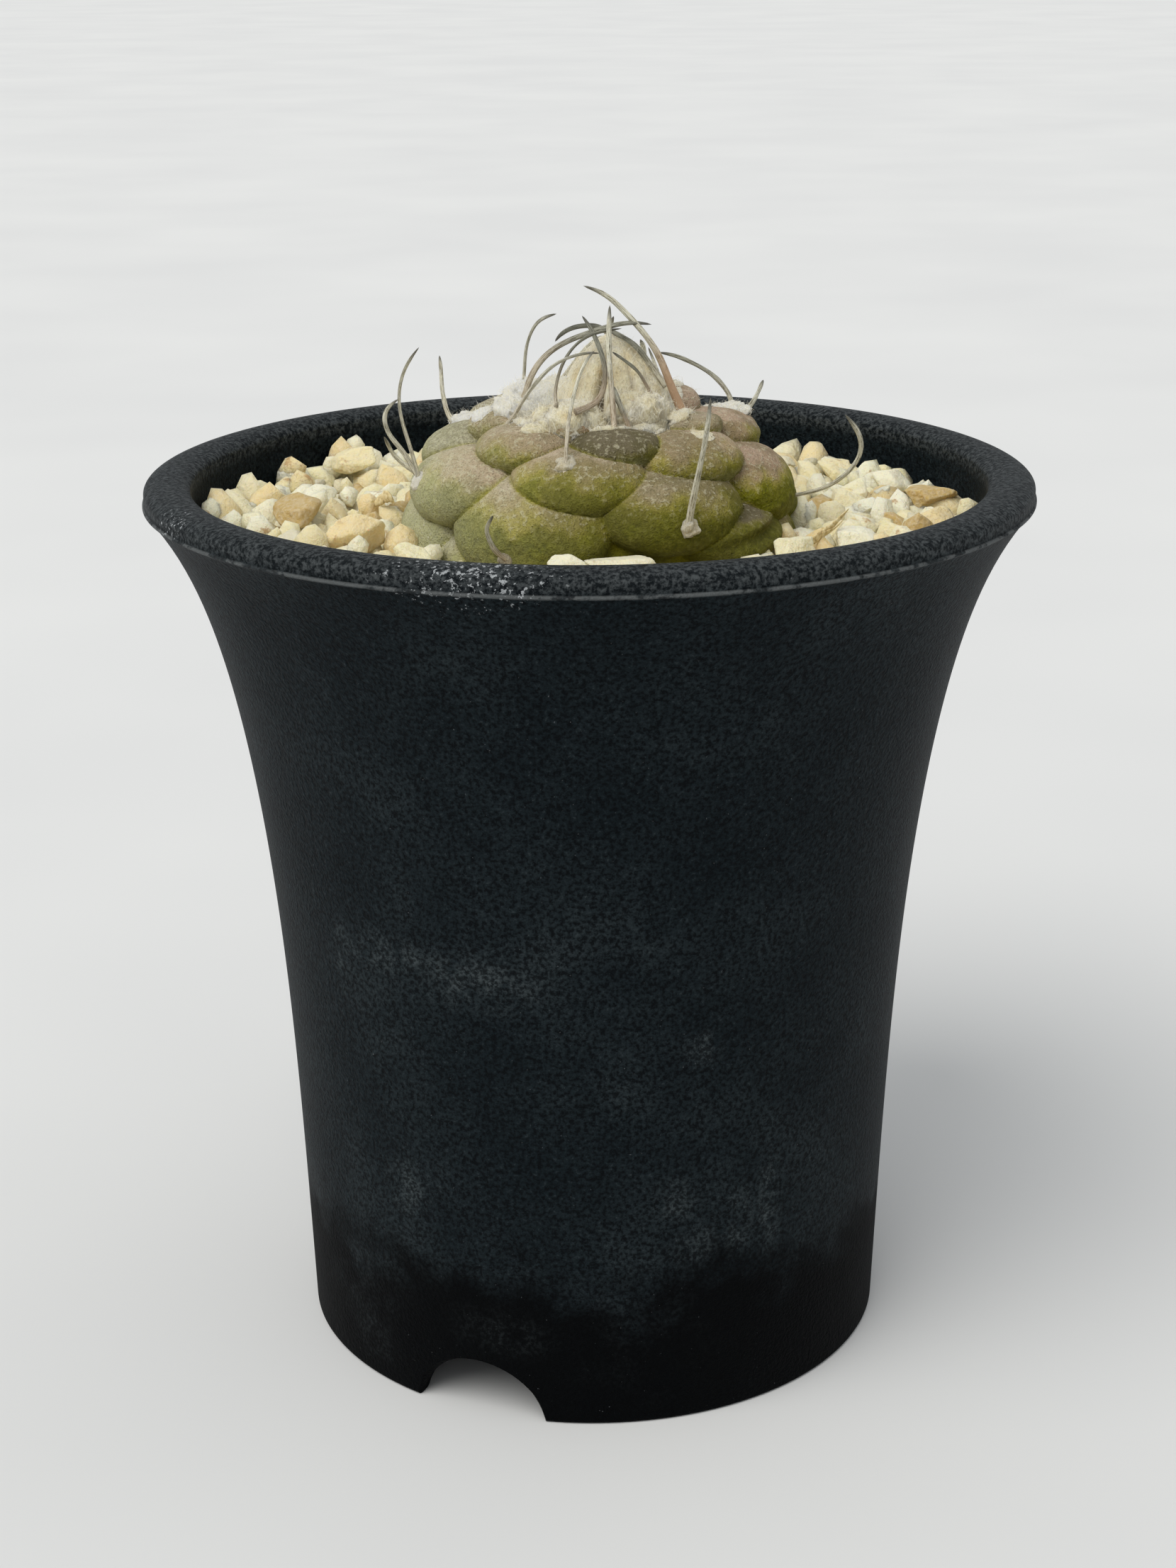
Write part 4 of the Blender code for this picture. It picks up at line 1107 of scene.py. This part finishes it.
def wool_finish():
    """Matted cream wool: whiter where the mesh says so, soiled on some tufts and darkened with painted shade
    in the crown's slits, and with painted shade between its hairs.
    """
    made, tree, shader, place = new_finish("wool", 0.95, Sheen_Weight=0.15, Sheen_Roughness=0.6,
                                           Subsurface_Weight=0.4, Subsurface_Scale=1.5 * MM)
    shader.inputs["Subsurface Radius"].default_value = (1.0, 0.9, 0.65)
    soil_and_slit_shade = attribute(tree, "soil_and_slit_shade")
    white = attribute(tree, "white")
    broad = grain(tree, place, 2.2 * MM, detail=4)
    hair = grain(tree, stretched(tree, place, (1.0, 1.0, 0.22)), 0.22 * MM, detail=3, roughness=0.7)
    color = steps(tree, broad, (0.3, (0.72, 0.58, 0.31)), (0.46, (0.87, 0.77, 0.50)),
                  (0.68, (0.94, 0.88, 0.69)))
    # Painted shade between the hairs.
    color = blend(tree, window(tree, hair, 0.5, 0.34, 0.0, 0.55), color, (0.46, 0.36, 0.17))
    color = blend(tree, times(tree, white, 0.85), color, (0.90, 0.89, 0.82))
    # Real soil on some tufts and painted shade in the crown's slits.
    soiled_and_shaded = times(tree, soil_and_slit_shade, window(tree, hair, 0.25, 0.6, 0.7, 1.0))
    color = blend(tree, soiled_and_shaded, color, (0.16, 0.11, 0.05))
    color_of(tree, shader, color)
    relief(tree, shader, (broad, 0.4 * MM), (hair, 0.5 * MM))
    return made


def hair_finish():
    made, tree, shader = new_finish("wool_hair", 0.8, Sheen_Weight=0.1, Subsurface_Weight=0.3,
                                    Subsurface_Scale=0.5 * MM)[:3]
    shader.inputs["Subsurface Radius"].default_value = (1.0, 0.9, 0.65)
    color = steps(tree, attribute(tree, "tone"), (0.0, (0.74, 0.61, 0.33)), (0.5, (0.94, 0.87, 0.62)),
                  (1.0, (0.97, 0.95, 0.84)))
    color_of(tree, shader, color)
    return made


def wool_hair(number, finish):
    """One bent hair, 1 long, three-sided and thin."""
    draw = np.random.default_rng(60 + number)
    bend = draw.uniform(-0.5, 0.5, 2)
    twist = draw.uniform(-0.25, 0.25, 2)
    points = []
    for share in (0.0, 0.5):
        middle = np.array([*(bend * share ** 2 + twist * math.sin(math.pi * share)), share])
        for side in range(3):
            turn = side * math.tau / 3
            out = np.array([math.cos(turn), math.sin(turn), 0])
            points.append(middle + HAIR_RADIUS * (1 - 0.4 * share) * out)
    points.append([*bend, 0.98])
    faces = grid_faces(2, 3) + cap_faces([3, 4, 5], 6, up=True) + [(2, 1, 0)]
    hair = mesh_piece(f"hair_{number}", points, faces, finish)
    bpy.context.scene.collection.objects.unlink(hair)
    return hair


def areole_place(number):
    azimuth, elevation = tubercle_place(number)
    aside, up = AREOLE_SHIFT.get(number, (0, 0))
    return azimuth + aside, elevation + AREOLE_RISE * (elevation - AREOLE_LEVEL) + up


# Masses of crown wool: middle over the stem's middle and half sizes in millimetres, power of the outline
# (under 2 tapers), white share, and slits as (azimuth, half width in degrees, depth in millimetres).
WOOL_MASSES = (
    ((1.2, 0.2, 7.0), (6.9, 6.8, 12.2), 1.65, 0.1,
     ((-16, 4.4, 2.3), (-1, 2.5, 0.35), (26, 3, 0.3), (-48, 4, 0.3), (150, 4, 0.8))),
    ((-4.7, 2.0, 7.1), (3.3, 4.0, 4.5), 2.0, 0.8),
    ((1.2, 3.4, 5.4), (5.2, 4.0, 4.5), 2.0, 0.3),
)
# Wool on the areoles: tubercle, radius and height in millimetres, white share, soiled share.
AREOLE_WOOL = (
    (-8, 0.8, 0.3, 0.0, 0.75), (-7, 1.2, 0.6, 0.5, 0.2), (-6, 1.2, 0.6, 0.5, 0.2), (-5, 1.0, 0.8, 0.35, 0.4),
    (-4, 1.2, 0.6, 0.4, 0.2), (-3, 1.1, 0.5, 0.7, 0.1), (-2, 0.9, 0.3, 0.5, 0.1), (-1, 1.2, 0.6, 0.5, 0.1),
    (0, 1.15, 0.7, 0.3, 0.35), (1, 1.3, 0.7, 0.6, 0.1), (2, 1.4, 0.8, 0.9, 0.0), (3, 1.25, 0.4, 0.0, 0.05),
    (4, 1.5, 0.8, 0.6, 0.0), (6, 1.6, 1.0, 0.75, 0.0),
)
# Loose wool round the crown: azimuth, elevation, radius and height in millimetres, white share, soiled share.
LOOSE_WOOL = (
    (-38, 51, 2.2, 0.9, 0.1, 0), (-32, 45, 1.5, 0.7, 0.0, 0), (-47, 54, 2.0, 1.1, 0.3, 0),
    (-62, 55, 2.4, 1.3, 0.85, 0), (-80, 57, 2.0, 0.9, 0.9, 0), (-72, 44, 1.3, 0.4, 1.0, 0),
    (-98, 57, 1.8, 0.6, 0.9, 0), (-96, 38, 1.3, 0.6, 1.0, 0), (-19, 52, 2.6, 0.9, 0.1, 0),
    (0, 54, 2.2, 0.8, 0.0, 0), (14, 55, 2.0, 0.8, 0.1, 0), (29, 53, 2.5, 0.9, 0.1, 0.1),
    (45, 54, 2.2, 0.9, 0.1, 0.15), (47, 61, 1.8, 0.9, 0.2, 0.1), (66, 64, 1.6, 0.6, 0.2, 0.1),
    (95, 63, 1.6, 0.5, 0.4, 0), (122, 60, 1.8, 0.6, 0.5, 0), (150, 55, 2.0, 0.9, 0.6, 0),
    (-178, 54, 2.0, 0.9, 0.6, 0), (-150, 56, 2.0, 0.8, 0.7, 0), (-122, 58, 1.8, 0.6, 0.8, 0),
)


def wool_lump(name, finish, azimuth, elevation, radius, rise, white, soil_and_slit_shade):
    """A soft lump of wool that sits on the skin."""
    shares, turns = np.linspace(1.15, 0.06, 18), np.arange(36) * math.tau / 36
    reach = float(stem_skin(np.array([azimuth]), np.array([elevation]))[0][0])
    half_angle = math.degrees(radius * MM / reach)
    share, turn = np.meshgrid(shares, turns, indexing="ij")
    up = elevation + half_angle * share * np.sin(turn)
    around = azimuth + half_angle * share * np.cos(turn) / max(0.3, math.cos(math.radians(elevation)))
    skin = stem_skin(around, up)[0]
    places = toward(around, up) * skin[..., None]
    ragged = 1 + 0.5 * noise_at(places, 0.7 * MM, 1.0)
    dome = np.sqrt(np.clip(1 - (share * ragged) ** 2, 0, 1)) - 0.35 * (share > 1)
    lumps = 1 + 0.5 * noise_at(places, 0.6 * MM, 2.0) + 0.25 * noise_at(places, 0.25 * MM, 6.0)
    over = rise * MM * dome * lumps - 0.12 * MM
    points = STEM_MIDDLE + toward(around, up) * (skin + over)[..., None]
    base = STEM_MIDDLE + toward(azimuth, elevation) * (reach - 0.6 * MM)
    top = points[-1].mean(axis=0) + toward(azimuth, elevation) * 0.02 * MM
    lump = closed_round(name, points, base, top, finish, sharp=180.0)
    outward(lump)
    store(lump, "white", np.full(len(lump.data.vertices), white))
    store(lump, "soil_and_slit_shade", np.full(len(lump.data.vertices), soil_and_slit_shade))
    return lump


def make_wool():
    finish = wool_finish()
    hair = hair_finish()
    hairs = [wool_hair(number, hair) for number in range(HAIRS)]
    masses = [wool_mass(f"wool_mass_{count}", finish, *row) for count, row in enumerate(WOOL_MASSES)]
    loose = [wool_lump(f"loose_wool_{count}", finish, *row) for count, row in enumerate(LOOSE_WOOL)]
    crown = join("crown_fleece", masses + loose + [crown_collar(finish)])
    tufts = join("areole_fleece", [wool_lump(f"tuft_{count}", finish, *areole_place(number), *sizes)
                                   for count, (number, *sizes) in enumerate(AREOLE_WOOL)])
    crown_hair = scatter("crown_hair", crown, hairs, hair, 0.3 * MM, 0.4 * MM, 1.3 * MM, 1.35, 0.0, 21)
    more_hairs = [item.copy() for item in hairs]
    tuft_hair = scatter("areole_hair", tufts, more_hairs, hair, 0.2 * MM, 0.2 * MM, 0.7 * MM, 1.3, 0.0, 22)
    finish_piece(crown, "wool", "crown_wool")
    names = [f"areole_wool_{count:02d}" for count in range(1, len(AREOLE_WOOL) + 1)]
    finish_piece(tufts, "wool", *names)
    for piece in (crown_hair, tuft_hair):
        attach(piece, "root")


# Spines: (azimuth, elevation, height over skin and wool in millimetres). The first point has no height: a
# spine starts inside its wool.
TUFT_SPINES = (
    ((-26, 1), (-28, 4, 1.1), (-29, 8, 2.2), (-29, 10, 2.7), (-27, 13, 3.2)),
    ((24, 9), (24, 16, 1.7), (25, 24, 5.2), (26, 30, 7.3), (27, 36, 10.0)),
    ((-12, 27), (-12, 34, 1.6), (-13, 44, 3.6), (-11, 55, 3.1), (-8, 61, 4.5), (-4, 65, 4.2)),
    ((101, 39), (103, 41, 1.0), (105, 49, 1.4), (109, 55, 1.2), (114, 59, 1.6), (120, 62, 2.0),
     (126, 66, 1.4)),
    ((121, 27), (122, 28, 1.2), (125, 28, 3.4), (128, 29, 6.1)),
    ((88, 8), (87, 9, 3.6), (86, 12, 5.9), (86, 15, 7.4), (85, 18, 8.0), (84, 21, 8.3), (83, 25, 8.4)),
    ((-70, 16), (-71, 23, 2.1), (-72, 30, 6.4), (-72, 35, 8.8), (-71, 40, 9.0), (-70, 43, 9.3),
     (-68, 45, 9.8)),
    ((-75, 17), (-77, 22, 2.4), (-79, 25, 4.9), (-80, 28, 6.0), (-81, 30, 6.3), (-82, 33, 6.2)),
    ((-99, 33), (-100, 34, 1.0), (-102, 38, 3.9), (-103, 42, 6.4), (-105, 44, 7.6)),
    ((-146, 24), (-147, 28, 2.6), (-150, 32, 3.6), (-154, 36, 4.0)),
    ((181, 40), (179, 48, 3.5), (176, 55, 5.0), (172, 62, 5.5)),
    ((161, 14), (162, 19, 4.5), (164, 25, 7.5), (167, 31, 9.0)),
    ((-114, 8), (-113, 12, 3.5), (-110, 17, 5.5)),
)
CROWN_SPINES = (
    ((7, 50), (7, 57, 0.7), (6, 65, 2.4), (7, 72, 4.0), (10, 77, 6.2)),
    ((61, 56), (62, 63, 0.3), (64, 69, 1.6), (62, 75, 2.9), (58, 80, 4.0), (54, 85, 5.2), (8, 89, 6.2),
     (-90, 86, 6.7)),
    ((-54, 44), (-52, 46, 0.1), (-45, 53, 1.7), (-39, 58, 2.3), (-33, 64, 2.7), (-25, 68, 2.5),
     (-11, 72, 2.3), (-1, 73, 1.9)),
    ((-68, 60), (-66, 65, 0.9), (-61, 72, 1.8), (-51, 77, 2.2), (-36, 81, 2.4), (1, 83, 2.9), (34, 82, 3.4),
     (51, 80, 3.8), (68, 75, 4.0)),
    ((-127, 51), (-128, 53, 0.5), (-130, 59, 3.1), (-133, 63, 4.4), (-136, 66, 4.9), (-143, 70, 4.7)),
    ((134, 80), (167, 85, 2.2), (-132, 85, 2.6), (-100, 82, 2.7), (-87, 78, 2.4), (-78, 76, 2.0)),
    ((-8, 53), (-2, 57, 0.2), (3, 62, 0.9), (3, 67, 1.9), (0, 73, 2.1), (-8, 79, 2.5), (-32, 84, 3.1),
     (-81, 85, 3.8)),
    ((-28, 56), (-33, 60, 0.2), (-38, 66, 0.4), (-37, 71, 1.4), (-32, 76, 2.2), (-18, 80, 2.7),
     (12, 81, 3.0), (36, 80, 3.2)),
    ((70, 69), (70, 74, 0.5), (66, 79, 1.5), (64, 85, 2.1), (58, 88, 2.4)),
    ((40, 64), (34, 68, 0.7), (25, 73, 1.1), (16, 77, 1.3)),
    ((15, 52), (12, 56, 0.2), (9, 59, 0.8), (8, 62, 0.9)),
    ((142, 63), (141, 67, 1.4), (141, 70, 2.0)),
    ((170, 60), (172, 66, 1.0), (170, 72, 1.4), (160, 77, 1.5)),
    ((-160, 55), (-165, 62, 1.2), (-172, 68, 1.6), (178, 74, 1.8)),
)
# Some spines' brown share at the base, dark share towards the tip, and width share, by their place in both
# lists together.
BROWN_BASES = {0: 0.5, 2: 0.35, 13: 0.5, 14: 1.0, 15: 0.25, 16: 0.35, 19: 0.55, 20: 0.35, 22: 0.6, 23: 0.7}
SPINE_DARKNESS = {0: 0.4, 3: 0.7, 4: 0.3, 7: 0.3, 14: 0.15, 15: 0.3, 16: 0.75, 17: 0.5, 18: 1.0, 19: 0.9,
                  20: 0.85, 21: 0.85, 22: 0.9, 23: 0.5}
SPINE_WIDTHS = {0: 0.75, 1: 1.05, 2: 0.95, 3: 0.7, 4: 0.8, 13: 1.4, 14: 1.2, 15: 0.95, 16: 0.9, 19: 0.78,
                20: 0.75, 21: 0.85, 22: 0.7, 23: 1.0}


def spine_point(azimuth, elevation, over):
    """A point over the skin or the crown wool."""
    where = np.array([float(azimuth)]), np.array([float(elevation)])
    reach = float(stem_skin(*where)[0][0])
    if elevation > 90 - WOOL_SPREAD:
        reach = max(reach + 1.3 * MM, float(wool_reach(where[1])[0]))
    return STEM_MIDDLE + toward(azimuth, elevation) * (reach + over)


def smooth_route(knots, count):
    """Points along a smooth curve near the knots, evenly spread, and the curve's length."""
    knots = np.array(knots)
    padded = np.vstack([2 * knots[0] - knots[1], knots, 2 * knots[-1] - knots[-2]])
    points = []
    for a, b, c, d in zip(padded, padded[1:], padded[2:], padded[3:]):
        t = np.linspace(0, 1, 24, endpoint=False)[:, None]
        points.append(0.5 * (2 * b + (c - a) * t + (2 * a - 5 * b + 4 * c - d) * t ** 2
                             + (3 * b - a - 3 * c + d) * t ** 3))
    points = np.vstack(points + [knots[-1:]])
    along = np.concatenate([[0], np.cumsum(np.linalg.norm(np.diff(points, axis=0), axis=1))])
    even = np.linspace(0, along[-1], count)
    route = np.stack([np.interp(even, along, points[:, axis]) for axis in range(3)], axis=-1)
    reach = count // 6
    weights = np.hanning(2 * reach + 3)[1:-1]
    weights /= weights.sum()
    ends = np.arange(reach, 0, -1)
    held = np.vstack([2 * route[0] - route[ends], route, 2 * route[-1] - route[-1 - ends[::-1]]])
    route = np.stack([np.convolve(held[:, axis], weights, "valid") for axis in range(3)], axis=-1)
    return route, along[-1]


def rod(name, knots, radius, finish, seed, flat=0.62, taper=0.3, tip=0.12, base=0.0):
    """A fibrous rod along the knots: flattened, grooved along its length and pointed."""
    count, sides = ROD_STEPS, ROD_SIDES
    route, length = smooth_route(knots, count)
    draw = np.random.default_rng(seed)
    tangents = np.gradient(route, axis=0)
    tangents /= np.linalg.norm(tangents, axis=1)[:, None]
    side = np.cross(tangents[0], (0.3, 0.2, 1.0))
    share = np.linspace(0, 1, count)
    end = np.sqrt(np.clip((1 - share) / tip, 0, 1))
    waver = np.interp(share, np.linspace(0, 1, 9), draw.uniform(0.9, 1.1, 9))
    width = radius * (1 - taper * share + base * np.exp(-share / 0.05)) * end * waver + 0.01 * MM
    grooves = 1 + 0.09 * draw.normal(size=sides)
    twist = draw.uniform(0, math.pi) + draw.uniform(-1.2, 1.2) * share
    rings = []
    for place, tangent, wide, turned in zip(route, tangents, width, twist):
        side = side - tangent * (side @ tangent)
        side /= np.linalg.norm(side)
        other = np.cross(tangent, side)
        turns = np.arange(sides) * math.tau / sides
        across = np.cos(turns) * grooves
        deep = np.sin(turns) * grooves * flat
        u = across * math.cos(turned) - deep * math.sin(turned)
        v = across * math.sin(turned) + deep * math.cos(turned)
        rings.append(place + wide * (u[:, None] * side + v[:, None] * other))
    point = route[-1] + tangents[-1] * 0.03 * MM
    piece = closed_round(name, np.array(rings), route[0], point, finish, sharp=180.0)
    outward(piece)
    store(piece, "along", np.append(np.repeat(share, sides), (0, 1)))
    store(piece, "around", np.append(np.tile(np.arange(sides) / sides, count), (0, 0)))
    store(piece, "length", np.append(np.repeat(share * length / MM, sides), (0, length / MM)))
    return piece


def spine_finish():
    """Flaking fibre: pale, dark towards the tip and brown at the base where the mesh says so."""
    made, tree, shader, place = new_finish("spine", 0.7)
    along = attribute(tree, "along")
    brown = attribute(tree, "brown")
    dark = attribute(tree, "dark")
    turn = times(tree, attribute(tree, "around"), math.tau)
    inputs = {0: calc(tree, "SINE", turn), 1: calc(tree, "COSINE", turn),
              2: times(tree, attribute(tree, "length"), 0.22)}
    rolled = add_node(tree, "ShaderNodeCombineXYZ", inputs).outputs[0]
    inputs = {"Vector": rolled, "Scale": 3.2, "Detail": 4, "Roughness": 0.7}
    fibre = add_node(tree, "ShaderNodeTexNoise", inputs).outputs[0]
    flake = grain(tree, place, 0.35 * MM, detail=3)
    color = steps(tree, fibre, (0.39, (0.16, 0.14, 0.08)), (0.45, (0.44, 0.41, 0.28)),
                  (0.51, (0.86, 0.83, 0.66)))
    color = blend(tree, window(tree, flake, 0.52, 0.66, 0.0, 0.6), color, (0.72, 0.70, 0.62))
    grey = steps(tree, fibre, (0.38, (0.05, 0.05, 0.036)), (0.54, (0.22, 0.22, 0.165)))
    shade = times(tree, dark, window(tree, along, 0.12, 0.5, 0.3, 1.0))
    color = blend(tree, shade, color, grey)
    rust = times(tree, brown, window(tree, along, 0.6, 0.2))
    color = blend(tree, rust, color, blend(tree, fibre, (0.26, 0.145, 0.07), (0.56, 0.39, 0.25)))
    tip = window(tree, calc(tree, "ADD", along, times(tree, fibre, 0.12)), 0.9, 1.04, 0.0, 0.8)
    color = blend(tree, tip, color, (0.075, 0.07, 0.055))
    color_of(tree, shader, color)
    relief(tree, shader, (fibre, 0.14 * MM), (flake, 0.08 * MM))
    return made


def make_spines():
    finish = spine_finish()
    rods = []
    for count, route in enumerate(TUFT_SPINES + CROWN_SPINES):
        depth, base = (TUFT_DEPTH, 0.5) if count < len(TUFT_SPINES) else (CROWN_DEPTH, 0.25)
        knots = [spine_point(azimuth, elevation, (height[0] if height else SPINE_ROOT) * MM)
                 for azimuth, elevation, *height in route]
        start = knots[0] - knots[1]
        knots.insert(0, knots[0] + start / np.linalg.norm(start) * depth * MM)
        radius = SPINE_RADIUS * SPINE_WIDTHS.get(count, 0.85)
        piece = rod(f"spine_{count}", knots, radius, finish, 70 + count, base=base)
        size = len(piece.data.vertices)
        store(piece, "brown", np.full(size, BROWN_BASES.get(count, 0.12)))
        store(piece, "dark", np.full(size, SPINE_DARKNESS.get(count, 0.1)))
        rods.append(piece)
    names = [f"spine_{count:02d}" for count in range(1, len(rods) + 1)]
    finish_piece(join("spines", rods), "spine", *names)


# Dry bits on the gravel

def straw_finish():
    made, tree, shader, place = new_finish("straw", 0.85)
    streak = grain(tree, stretched(tree, place, (1, 0.3, 0.6)), 0.3 * MM)
    color = steps(tree, streak, (0.3, (0.36, 0.25, 0.10)), (0.5, (0.70, 0.56, 0.28)),
                  (0.7, (0.82, 0.72, 0.46)))
    color_of(tree, shader, color)
    relief(tree, shader, (streak, 0.12 * MM))
    return made


# The dry stalk's two prongs and a loose husk: half width and points (azimuth, radius, height over the
# gravel), in millimetres and degrees.
DRY_BITS = (
    (0.6, ((50, 24.7, 1.2), (55.1, 25.2, 2.2), (61.1, 25.7, 2.7), (65.5, 26.5, 3.6), (68.7, 27.5, 4.8))),
    (0.38, ((60.5, 25.6, 2.6), (64.9, 26.4, 3.0), (67, 26.9, 3.5), (67.7, 27.2, 3.9))),
    (0.9, ((-96.3, 21.8, 2.9), (-90.8, 20.7, 3.7), (-89.4, 19.9, 3.1))),
)


def make_stalk():
    finish = straw_finish()
    bits = []
    for count, (width, route) in enumerate(DRY_BITS):
        knots = []
        for azimuth, radius, rise in route:
            place = toward(azimuth) * radius * MM
            place[2] = gravel_height(azimuth, radius * MM) + rise * MM
            knots.append(place)
        bit = rod(f"dry_bit_{count}", knots, width * MM, finish, 40 + count, flat=0.35, taper=0.5, tip=0.3)
        bits.append(bit)
    finish_piece(join("dry_flower_stalk", bits), "straw", "dry_stalk")


def dress_potting_mix():
    made, tree, shader, place = new_finish("potting_mix", 0.95)
    crumb = grain(tree, place, 1.4 * MM, detail=5, roughness=0.7)
    color_of(tree, shader, steps(tree, crumb, (0.3, (0.018, 0.012, 0.008)), (0.55, (0.07, 0.045, 0.028)),
                                 (0.78, (0.20, 0.15, 0.10))))
    relief(tree, shader, (crumb, 0.9 * MM))
    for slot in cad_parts["potting_mix"].material_slots:
        slot.material = made


aim_camera()
light_studio()
lay_floor()
make_pot()
make_stem()
gravel_finish = gravel_stone_finish()
make_gravel(gravel_finish)
make_large_stones(gravel_finish)
make_wool()
make_spines()
make_stalk()
dress_potting_mix()
